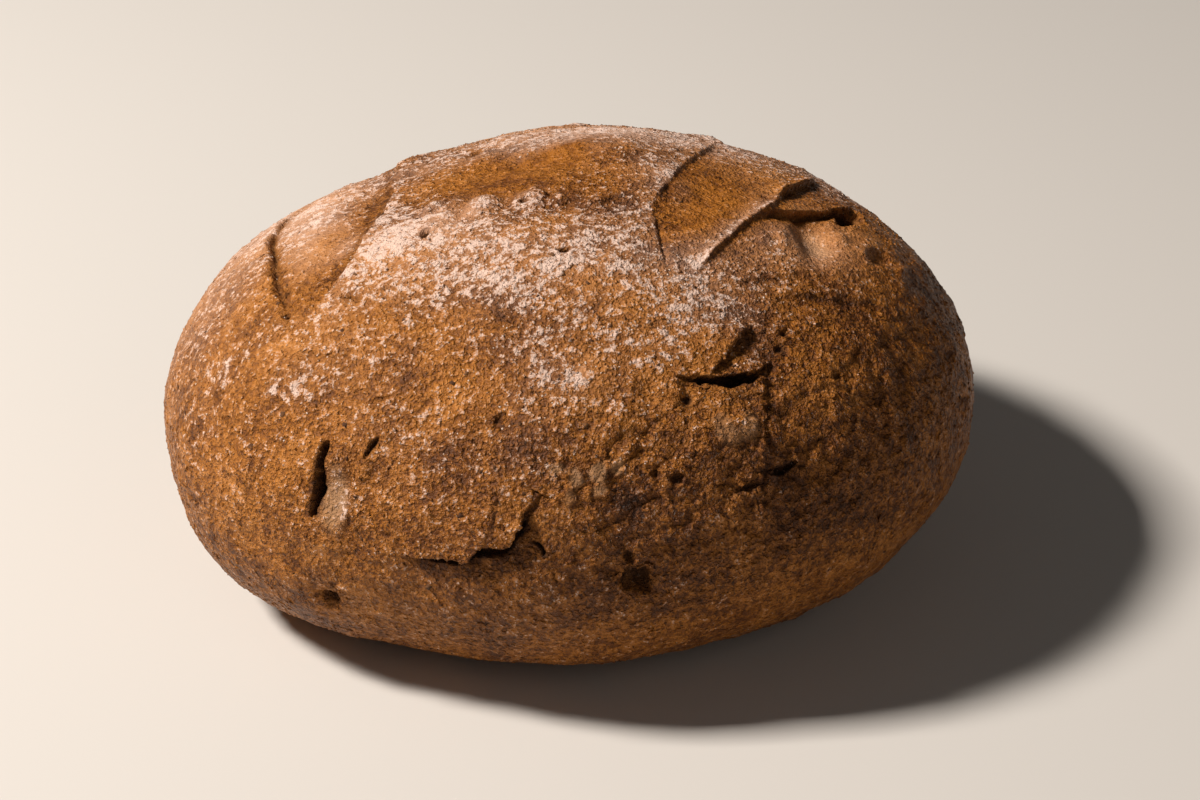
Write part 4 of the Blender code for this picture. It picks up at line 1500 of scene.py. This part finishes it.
class CrustWiring:
    """The nodes of the crust's finish, up to what its shader takes in."""

    def __init__(self, finish: CrustFinish, net: Net) -> None:
        """Adds what its colour, its roughness and its relief share.

        Args:
            finish: the finish.
            net: the material's tree.
        """
        self.finish = finish
        self.net = net
        self.place = net.add("ShaderNodeTexCoord").outputs["Object"]
        self.values = {
            channel: net.add("ShaderNodeAttribute", {"attribute_name": channel.value}).outputs["Fac"]
            for channel in Channel
        }
        self.coarse = net.group(finish.grains, Place=self.place, Size=finish.grain_size)
        self.fine = net.group(finish.grains, Place=self.place, Size=finish.fine_size)
        self.plates = net.group(finish.plates, Place=self.place, Size=finish.plate_size)
        self.flaky = net.math("MULTIPLY", self.values[Channel.FLAKY], 1.0, clamp=True)
        density = net.math("ADD", self.values[Channel.FLOUR], finish.flour_floor)
        self.shed = net.math(
            "MULTIPLY_ADD", self.values[Channel.SUNK_SHADE], -finish.sunk_shade_cover, density, clamp=True
        )
        dusting = net.group(
            finish.dusting,
            Place=self.place,
            Density=self.shed,
            Size=finish.grain_size,
            Height=self.coarse["Height"],
        )
        self.mask = dusting["Mask"]
        self.veil = net.math("MULTIPLY_ADD", self.shed, finish.veil_slope, -finish.veil_floor, clamp=True)
        bold = net.math("MULTIPLY_ADD", self.veil, -finish.veil_calm, 1.0)
        self.bold = net.math(
            "MULTIPLY_ADD", self.values[Channel.SMOOTH], -finish.smooth_calm, bold, clamp=True
        )

    def bake(self) -> Socket:
        """How dark the crust is: blotches, joints, painted shade in its gaps and painted light on its
        grains.

        Returns:
            A value from 0, pale, to 1, scorched.
        """
        net, finish = self.net, self.finish
        bake = self.values[Channel.BAKE]
        for size, roughness, strength in finish.blotches:
            blotch = net.noise(self.place, 1 / size, finish.blotch_detail, roughness).outputs[0]
            bake = net.math("MULTIPLY_ADD", net.math("SUBTRACT", blotch, 0.5), strength, bake)
        # Painted shade in the grains' gaps, and below, painted light on their tops
        for grains, strength in ((self.coarse, finish.coarse_gap_shade), (self.fine, finish.fine_gap_shade)):
            gaps = net.math("MULTIPLY", grains["Gaps"], self.bold)
            bake = net.math("MULTIPLY_ADD", gaps, strength, bake)
        bake = net.math("MULTIPLY_ADD", self.coarse["Tops"], -finish.top_light, bake)
        joints = net.math("MULTIPLY", self.plates["Joint"], self.flaky)
        bake = net.math("MULTIPLY_ADD", joints, finish.joints, bake)
        return net.math("ADD", bake, finish.bake_level, clamp=True)

    def colour(self) -> Socket:
        """The baked colour, and over it the bared crumb, the painted shade of the cracks, a haze and the
        flour.

        Returns:
            The colour.
        """
        net, finish, values = self.net, self.finish, self.values
        ramp = net.add("ShaderNodeValToRGB", Fac=self.bake())
        stops = ramp.color_ramp.elements
        for position in finish.baked_at[1:-1]:
            stops.new(position)
        colours = (finish.pale, finish.golden, finish.brown, finish.scorched)
        for stop, position, colour in zip(stops, finish.baked_at, colours):
            stop.position = position
            stop.color = (*colour, 1.0)
        bared = net.math("MULTIPLY", values[Channel.BARE], finish.bare_cover, clamp=True)
        # Painted shade: cracks, pits, joints and gaps under lips darkened towards the depth colour
        sunk = net.math("MULTIPLY", values[Channel.SUNK_SHADE], finish.sunk_shade_cover, clamp=True)
        deep = net.mixed(sunk, net.mixed(bared, ramp.outputs[0], finish.crumb), finish.depth)
        settled = net.math("MULTIPLY", values[Channel.SMOOTH], self.shed)
        settled = net.math("MULTIPLY", settled, finish.smooth_haze)
        haze = net.math("MULTIPLY_ADD", self.veil, finish.veil_haze, settled, clamp=True)
        hazed = net.mixed(haze, deep, finish.flour)
        return net.mixed(net.math("MULTIPLY", self.mask, finish.flour_cover), hazed, finish.flour)

    def roughness(self) -> Socket:
        """A slight shine on the brown crust, and none on flour, bared crumb and the painted shade of the
        cracks.

        Returns:
            The roughness.
        """
        softness = self.net.math("ADD", self.mask, self.values[Channel.BARE])
        softness = self.net.math("ADD", softness, self.values[Channel.SUNK_SHADE], clamp=True)
        span = self.finish.roughness_floury - self.finish.roughness_brown
        return self.net.math("MULTIPLY_ADD", softness, span, self.finish.roughness_brown)

    def normal(self) -> Socket:
        """The relief of the flakes, of the coarse grains and of the fine grains, one on another.

        Returns:
            The normal.
        """
        net, finish = self.net, self.finish
        kept = net.math("MULTIPLY_ADD", self.values[Channel.BARE], -finish.bare_calm, 1.0, clamp=True)
        rough = net.math("MULTIPLY", net.math("MULTIPLY", self.coarse["Height"], kept), self.bold)
        flakes = net.math("MULTIPLY", self.plates["Height"], self.flaky)
        bump = net.add("ShaderNodeBump", Height=flakes, Distance=finish.plate_height)
        for height, distance in ((rough, finish.grain_height), (self.fine["Height"], finish.fine_height)):
            bump = net.add("ShaderNodeBump", Height=height, Distance=distance, Normal=bump.outputs[0])
        return bump.outputs[0]


@dataclass(frozen=True)
class GrainFinish:
    """Loose grains of flour or bran: one matt colour that varies from grain to grain."""

    name: str
    grains: bpy.types.NodeTree
    light: Colour
    dark: Colour
    roughness: float = 0.95
    specular: float = 0.25
    vary_size: float = 0.0014
    vary_detail: float = 2.0
    vary_edges: tuple[float, float] = (0.35, 0.65)
    grain_size: float = 0.0003
    grain_height: float = 0.00005

    def material(self) -> bpy.types.Material:
        """Builds the grains' material.

        Returns:
            The material.
        """
        material, net, shader = new_material(self.name)
        place = net.add("ShaderNodeTexCoord").outputs["Object"]
        vary = net.noise(place, 1 / self.vary_size, self.vary_detail).outputs[0]
        share = net.between(vary, *self.vary_edges)
        net.feed(shader.inputs["Base Color"], net.mixed(share, self.light, self.dark))
        shader.inputs["Roughness"].default_value = self.roughness
        shader.inputs["Specular IOR Level"].default_value = self.specular
        height = net.group(self.grains, Place=place, Size=self.grain_size)["Height"]
        bump = net.add("ShaderNodeBump", Height=height, Distance=self.grain_height)
        net.feed(shader.inputs["Normal"], bump.outputs[0])
        return material


@dataclass(frozen=True)
class FloorFinish:
    """A plain pale floor."""

    colour: Colour = (0.62, 0.60, 0.58)
    roughness: float = 0.9

    def material(self) -> bpy.types.Material:
        """Builds the floor's material.

        Returns:
            The material.
        """
        material, _, shader = new_material("floor")
        shader.inputs["Base Color"].default_value = (*self.colour, 1.0)
        shader.inputs["Roughness"].default_value = self.roughness
        return material


def piece_of(name: str, mesh: bpy.types.Mesh, material: bpy.types.Material) -> bpy.types.Object:
    """Makes a piece of the loaf.

    Args:
        name: the piece's name.
        mesh: its mesh, in its final place.
        material: its finish.

    Returns:
        The piece, riding on the loaf's body.
    """
    mesh.materials.clear()
    mesh.materials.append(material)
    piece = bpy.data.objects.new(name, mesh)
    bpy.context.scene.collection.objects.link(piece)
    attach(piece, BODY)
    log.info("%s: %d faces", name, len(mesh.polygons))
    return piece


@dataclass
class Crust:
    """The loaf's whole crust as one closed skin."""

    divisions: int = 49
    base_height: float = 0.0015
    fine_margins: tuple[float, ...] = (0.0018, 0.0006)
    relief_fade: tuple[float, float] = (0.0004, 0.0060)
    pits: ScatteredPits = field(default_factory=ScatteredPits)
    scars: ScatteredScars = field(default_factory=ScatteredScars)

    @staticmethod
    def directions(bm: bmesh.types.BMesh) -> Array:
        """Returns the directions of a mesh's vertices from its middle."""
        return unit(np.array([v.co[:] for v in bm.verts], float))

    @staticmethod
    def place_at(bm: bmesh.types.BMesh, positions: Array) -> None:
        """Moves a mesh's vertices to new positions."""
        for vertex, position in zip(bm.verts, positions):
            vertex.co = position

    def blown_up_cube(self) -> bmesh.types.BMesh:
        """A cube's even grid as directions, spread to suit the loaf's flat form.

        Returns:
            The grid.
        """
        bm = bmesh.new()
        bmesh.ops.create_cube(bm, size=2.0)
        bmesh.ops.subdivide_edges(bm, edges=bm.edges[:], cuts=self.divisions - 1, use_grid_fill=True)
        corners = np.array([v.co[:] for v in bm.verts], float)
        halves = np.array([FORM.width / 2, FORM.depth / 2, FORM.height / 2])
        self.place_at(bm, unit(unit(np.tan(corners * math.pi / 4)) * halves))
        return bm

    def refine(self, bm: bmesh.types.BMesh, chosen: Array) -> None:
        """Halves the faces that touch the chosen vertices.

        Args:
            bm: the mesh of directions.
            chosen: a yes or no for each vertex.
        """
        bm.verts.index_update()
        faces = [face for face in bm.faces if any(chosen[v.index] for v in face.verts)]
        edges = {edge for face in faces for edge in face.edges}
        bmesh.ops.subdivide_edges(bm, edges=list(edges), cuts=1, use_grid_fill=True)
        self.place_at(bm, self.directions(bm))

    def fine_mesh(self, features: Sequence[Stroke | Patch]) -> bmesh.types.BMesh:
        """A mesh of directions that is fine where the crust has small features.

        Args:
            features: the features that need a fine mesh.

        Returns:
            The mesh, its vertices at length 1 from its middle.
        """
        bm = self.blown_up_cube()
        self.refine(bm, FORM.points(self.directions(bm))[:, 2] > self.base_height)
        for margin in self.fine_margins:
            points = FORM.points(self.directions(bm))
            small = np.zeros(len(points), bool)
            for feature in features:
                small |= feature.core(points, margin)
            self.refine(bm, small)
        return bm

    def build(self, material: bpy.types.Material) -> bpy.types.Object:
        """Shapes the crust and dresses it.

        Args:
            material: the crust's finish.

        Returns:
            The piece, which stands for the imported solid.
        """
        bm = self.fine_mesh((*FOLDS, *TEARS, *SPOTS))
        relief = Relief(self.directions(bm))
        everything = (*UNEVENNESS, *FOLDS, *TEARS, *FAR_TEARS, *SPOTS, *CRACKLED, *FINISHING)
        for feature in (*everything, *self.pits.features(), *self.scars.features()):
            feature.apply(relief)
        shaped = relief.shaped(self.relief_fade)
        low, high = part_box(NODE)
        middle = (shaped.min(axis=0) + shaped.max(axis=0)) / 2
        target = (low + high) / 2
        self.place_at(bm, shaped + [target.x - middle[0], target.y - middle[1], 0.0])
        bmesh.ops.triangulate(bm, faces=bm.faces[:])
        bmesh.ops.recalc_face_normals(bm, faces=bm.faces[:])
        mesh = bpy.data.meshes.new("crust")
        bm.to_mesh(mesh)
        bm.free()
        for channel, values in relief.channels.items():
            attribute = mesh.attributes.new(channel.value, "FLOAT", "POINT")
            attribute.data.foreach_set("value", np.clip(values, -1.0, 1.0).astype(np.float32))
        mesh.shade_smooth()
        piece = piece_of("crust_skin", mesh, material)
        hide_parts(NODE)
        return piece


class GrainShape(Enum):
    """What a loose grain is like before it is bent out of shape."""

    CRUMB = "crumb"
    CHIP = "chip"


@dataclass(frozen=True)
class Strewn:
    """Loose grains strewn over the crust by Geometry Nodes, thickest where one of its values is high."""

    name: str
    channel: Channel
    size: float
    spread: float
    per_area: float
    flatness: float
    seed: int
    least: float = 0.0
    bury: float = 0.25
    shape: GrainShape = GrainShape.CRUMB
    tilt: float = 0.35
    ragged: float = 0.25
    lowest: float = 0.004

    crumb_side: ClassVar[float] = 0.8
    chip_corners: ClassVar[int] = 7
    smooth_bare: ClassVar[float] = 0.9
    wobble: ClassVar[float] = 0.8
    wobble_detail: ClassVar[float] = 1.0

    def inputs(self, material: bpy.types.Material) -> dict[str, tuple[str, object]]:
        """What the node tree takes in besides the crust.

        Args:
            material: the grains' finish.

        Returns:
            Each input's socket type and its value for these grains, by name.
        """
        return {
            "Size": ("NodeSocketFloat", self.size),
            "Spread": ("NodeSocketFloat", self.spread),
            "Per Area": ("NodeSocketFloat", self.per_area),
            "Least": ("NodeSocketFloat", self.least),
            "Flatness": ("NodeSocketFloat", self.flatness),
            "Bury": ("NodeSocketFloat", self.bury),
            "Ragged": ("NodeSocketFloat", self.ragged),
            "Lowest": ("NodeSocketFloat", self.lowest),
            "Seed": ("NodeSocketInt", self.seed),
            "Material": ("NodeSocketMaterial", material),
        }

    def grain(self, net: Net) -> Socket:
        """Makes one grain, about a metre across.

        Args:
            net: the tree that it is made in.

        Returns:
            Its mesh.
        """
        if self.shape is GrainShape.CHIP:
            node = net.add("GeometryNodeMeshCylinder", Vertices=self.chip_corners, Radius=0.5, Depth=1.0)
        else:
            node = net.add("GeometryNodeMeshCube", Size=(self.crumb_side,) * 3)
        return node.outputs["Mesh"]

    def points(self, net: Net, given: Sockets) -> bpy.types.Node:
        """Spreads points over the crust, off its bared, sunk and smooth places and off its foot.

        Args:
            net: the tree.
            given: the tree's inputs.

        Returns:
            The node that spreads them.
        """
        reader = "GeometryNodeInputNamedAttribute"
        value, bare, sunk, plain = (
            net.add(reader, {"data_type": "FLOAT"}, Name=channel.value).outputs[0]
            for channel in (self.channel, Channel.BARE, Channel.SUNK_SHADE, Channel.SMOOTH)
        )
        kept_off = net.math("MULTIPLY_ADD", plain, self.smooth_bare, net.math("ADD", bare, sunk))
        covered = net.math("SUBTRACT", 1.0, kept_off, clamp=True)
        thick = net.math("MULTIPLY", net.math("ADD", value, given["Least"], clamp=True), covered)
        height = net.add("ShaderNodeSeparateXYZ", Vector=net.add("GeometryNodeInputPosition").outputs[0])
        above = net.math("GREATER_THAN", height.outputs["Z"], given["Lowest"])
        density = net.math("MULTIPLY", net.math("MULTIPLY", thick, above), given["Per Area"])
        return net.add(
            "GeometryNodeDistributePointsOnFaces",
            {"distribute_method": "RANDOM"},
            Mesh=given["Geometry"],
            Density=density,
            Seed=given["Seed"],
        )

    @staticmethod
    def drawn(net: Net, kind: str, seed: object, low: object, high: object) -> Socket:
        """Adds a random draw.

        Args:
            net: the tree.
            kind: what is drawn, a float or three floats.
            seed: the draw's seed.
            low: its lower limit.
            high: its upper limit.

        Returns:
            What is drawn.
        """
        node = net.add("FunctionNodeRandomValue", {"data_type": kind}, Seed=seed)
        limits = [s for s in node.inputs if s.enabled and s.name in ("Min", "Max")]
        for socket, limit in zip(limits, (low, high)):
            net.feed(socket, limit)
        return next(s for s in node.outputs if s.enabled)

    def scale(self, net: Net, given: Sockets) -> Socket:
        """Draws each grain's length and breadth.

        Args:
            net: the tree.
            given: the tree's inputs.

        Returns:
            Each grain's size along its three axes.
        """
        low = net.math("MULTIPLY", given["Size"], net.math("SUBTRACT", 1.0, given["Spread"]))
        high = net.math("MULTIPLY", given["Size"], net.math("ADD", 1.0, given["Spread"]))
        length = self.drawn(net, "FLOAT", given["Seed"], low, high)
        breadth = self.drawn(net, "FLOAT", net.math("ADD", given["Seed"], 1.0), low, high)
        thickness = net.math("MULTIPLY", length, given["Flatness"])
        return net.add("ShaderNodeCombineXYZ", X=length, Y=breadth, Z=thickness).outputs[0]

    def tree(self, inputs: dict[str, tuple[str, object]]) -> tuple[bpy.types.NodeTree, dict[str, str]]:
        """Builds the node tree.

        Args:
            inputs: what it takes in besides the crust.

        Returns:
            The tree, and the identifier of each of those inputs by name.
        """
        tree = bpy.data.node_groups.new(self.name, "GeometryNodeTree")
        tree.interface.new_socket("Geometry", in_out="INPUT", socket_type="NodeSocketGeometry")
        found = {
            label: tree.interface.new_socket(label, in_out="INPUT", socket_type=kind).identifier
            for label, (kind, _) in inputs.items()
        }
        tree.interface.new_socket("Geometry", in_out="OUTPUT", socket_type="NodeSocketGeometry")
        net = Net(tree)
        given = net.add("NodeGroupInput").outputs

        points = self.points(net, given)
        sink = net.add("ShaderNodeVectorMath", {"operation": "SCALE"})
        net.feed(sink.inputs[0], points.outputs["Normal"])
        deep = net.math("MULTIPLY", given["Bury"], net.math("MULTIPLY", given["Size"], -1.0))
        net.feed(sink.inputs["Scale"], deep)
        settled = net.add(
            "GeometryNodeSetPosition", Geometry=points.outputs["Points"], Offset=sink.outputs[0]
        )
        turned = net.add(
            "FunctionNodeRotateRotation", {"rotation_space": "LOCAL"}, Rotation=points.outputs["Rotation"]
        )
        flattest, steepest = (-self.tilt, -self.tilt, 0.0), (self.tilt, self.tilt, 2.0 * math.pi)
        spin = self.drawn(net, "FLOAT_VECTOR", given["Seed"], flattest, steepest)
        net.feed(turned.inputs["Rotate By"], spin)
        strewn = net.add(
            "GeometryNodeInstanceOnPoints",
            Points=settled.outputs[0],
            Instance=self.grain(net),
            Rotation=turned.outputs[0],
            Scale=self.scale(net, given),
        )
        real = net.add("GeometryNodeRealizeInstances", Geometry=strewn.outputs[0])
        here = net.add("GeometryNodeInputPosition").outputs[0]
        wobble = net.noise(here, net.math("DIVIDE", self.wobble, given["Size"]), self.wobble_detail)
        reach = net.math("MULTIPLY", given["Ragged"], net.math("MULTIPLY", given["Size"], 2.0))
        strayed = net.strayed(here, wobble.outputs["Color"], reach)
        ragged = net.add("GeometryNodeSetPosition", Geometry=real.outputs[0], Position=strayed)
        dressed = net.add("GeometryNodeSetMaterial", Geometry=ragged.outputs[0], Material=given["Material"])
        net.add("NodeGroupOutput", Geometry=dressed.outputs[0])
        return tree, found

    def build(self, crust: bpy.types.Object, material: bpy.types.Material) -> None:
        """Strews the grains and makes them one piece of plain mesh.

        Args:
            crust: the piece that they lie on.
            material: their finish.
        """
        inputs = self.inputs(material)
        tree, found = self.tree(inputs)
        carrier = bpy.data.objects.new(f"{self.name}_carrier", crust.data.copy())
        bpy.context.scene.collection.objects.link(carrier)
        modifier = carrier.modifiers.new("strewn", "NODES")
        modifier.node_group = tree
        for label, (_, value) in inputs.items():
            modifier[found[label]] = value
        evaluated = carrier.evaluated_get(bpy.context.evaluated_depsgraph_get())
        mesh = bpy.data.meshes.new_from_object(evaluated)
        mesh.name = self.name
        if self.shape is not GrainShape.CHIP:
            mesh.shade_smooth()
        carrier.modifiers.remove(modifier)
        bpy.data.objects.remove(carrier, do_unlink=True)
        piece_of(self.name, mesh, material)


CRUMBS = Strewn("crust_crumbs", Channel.BAKE, size=0.00115, spread=0.45, per_area=190000.0, flatness=0.55,
                seed=7, least=0.9, bury=0.28)
GRIT = Strewn("crust_grit", Channel.BAKE, size=0.00070, spread=0.4, per_area=200000.0, flatness=0.65,
              seed=9, least=0.9, bury=0.20)
FLOUR = Strewn("flour_grains", Channel.FLOUR, size=0.00042, spread=0.45, per_area=500000.0, flatness=0.7,
               seed=3)
BRAN = Strewn("bran_flecks", Channel.BAKE, size=0.0011, spread=0.5, per_area=9000.0, flatness=0.22,
              seed=11, least=0.5, bury=0.05)
FLAKES = Strewn("loose_flakes", Channel.FLAKY, size=0.0019, spread=0.5, per_area=90000.0, flatness=0.09,
                seed=13, bury=0.02, shape=GrainShape.CHIP, tilt=0.14, ragged=0.12)


@dataclass(frozen=True)
class Lamp:
    """A soft square light."""

    name: str
    place: tuple[float, float, float]
    power: float
    size: float
    colour: Colour = (1.0, 0.92, 0.83)

    def build(self, target: Vector) -> None:
        """Hangs the light.

        Args:
            target: what it points at.
        """
        data = bpy.data.lights.new(self.name, "AREA")
        data.energy = self.power
        data.size = self.size
        data.color = self.colour
        lamp = bpy.data.objects.new(self.name, data)
        lamp.location = self.place
        lamp.rotation_euler = (Vector(self.place) - target).to_track_quat("Z", "Y").to_euler()
        bpy.context.scene.collection.objects.link(lamp)


@dataclass(frozen=True)
class Studio:
    """The floor, the lights and the camera."""

    floor_size: float = 6.0
    lens: float = 85.0
    sensor: float = 36.0
    distance: float = 0.737
    elevation: float = 30.0
    target: tuple[float, float, float] = (0.0081, 0.0, 0.0385)
    lamps: tuple[Lamp, ...] = (
        Lamp("key", (-1.09, -0.11, 1.30), 45.0, 0.27),
        Lamp("fill", (0.75, -1.05, 0.70), 1.8, 1.2),
    )
    sky: Colour = (0.80, 0.77, 0.74)
    sky_strength: float = 0.055

    def floor(self) -> None:
        """Lays the floor, which is not part of the loaf."""
        bpy.ops.mesh.primitive_plane_add(size=self.floor_size)
        floor = bpy.context.object
        floor.name = "floor"
        floor.data.materials.append(FloorFinish().material())

    def camera(self) -> None:
        """Sets up the camera, at the photograph's viewing angle."""
        data = bpy.data.cameras.new("camera")
        data.lens = self.lens
        data.sensor_width = self.sensor
        rise = math.radians(self.elevation)
        back = Vector((0.0, -math.cos(rise), math.sin(rise)))
        camera = bpy.data.objects.new("camera", data)
        camera.location = Vector(self.target) + self.distance * back
        camera.rotation_euler = back.to_track_quat("Z", "Y").to_euler()
        bpy.context.scene.collection.objects.link(camera)
        bpy.context.scene.camera = camera

    def build(self) -> None:
        """Sets up the whole studio."""
        self.floor()
        for lamp in self.lamps:
            lamp.build(Vector(self.target))
        world = bpy.data.worlds.new("studio")
        world.use_nodes = True
        background = world.node_tree.nodes["Background"]
        background.inputs["Color"].default_value = (*self.sky, 1.0)
        background.inputs["Strength"].default_value = self.sky_strength
        bpy.context.scene.world = world
        bpy.context.scene.view_settings.view_transform = "Standard"
        self.camera()


def main() -> None:
    """Clears the scene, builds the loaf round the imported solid, and lights it."""
    logging.basicConfig(level=logging.INFO, format="%(message)s")
    for item in list(bpy.data.objects):
        bpy.data.objects.remove(item, do_unlink=True)
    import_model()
    grains = GrainGroup().tree()
    baked = CrustFinish(grains, DustingGroup().tree(), PlateGroup().tree()).material()
    flour = GrainFinish("loose_flour", grains, light=(0.70, 0.55, 0.46), dark=(0.56, 0.41, 0.31)).material()
    bran = GrainFinish("bran", grains, light=(0.16, 0.075, 0.032), dark=(0.07, 0.03, 0.015)).material()
    crust = Crust().build(baked)
    for strewn, finish in ((CRUMBS, baked), (GRIT, baked), (FLOUR, flour), (BRAN, bran), (FLAKES, baked)):
        strewn.build(crust, finish)
    Studio().build()


if __name__ == "__main__":
    main()
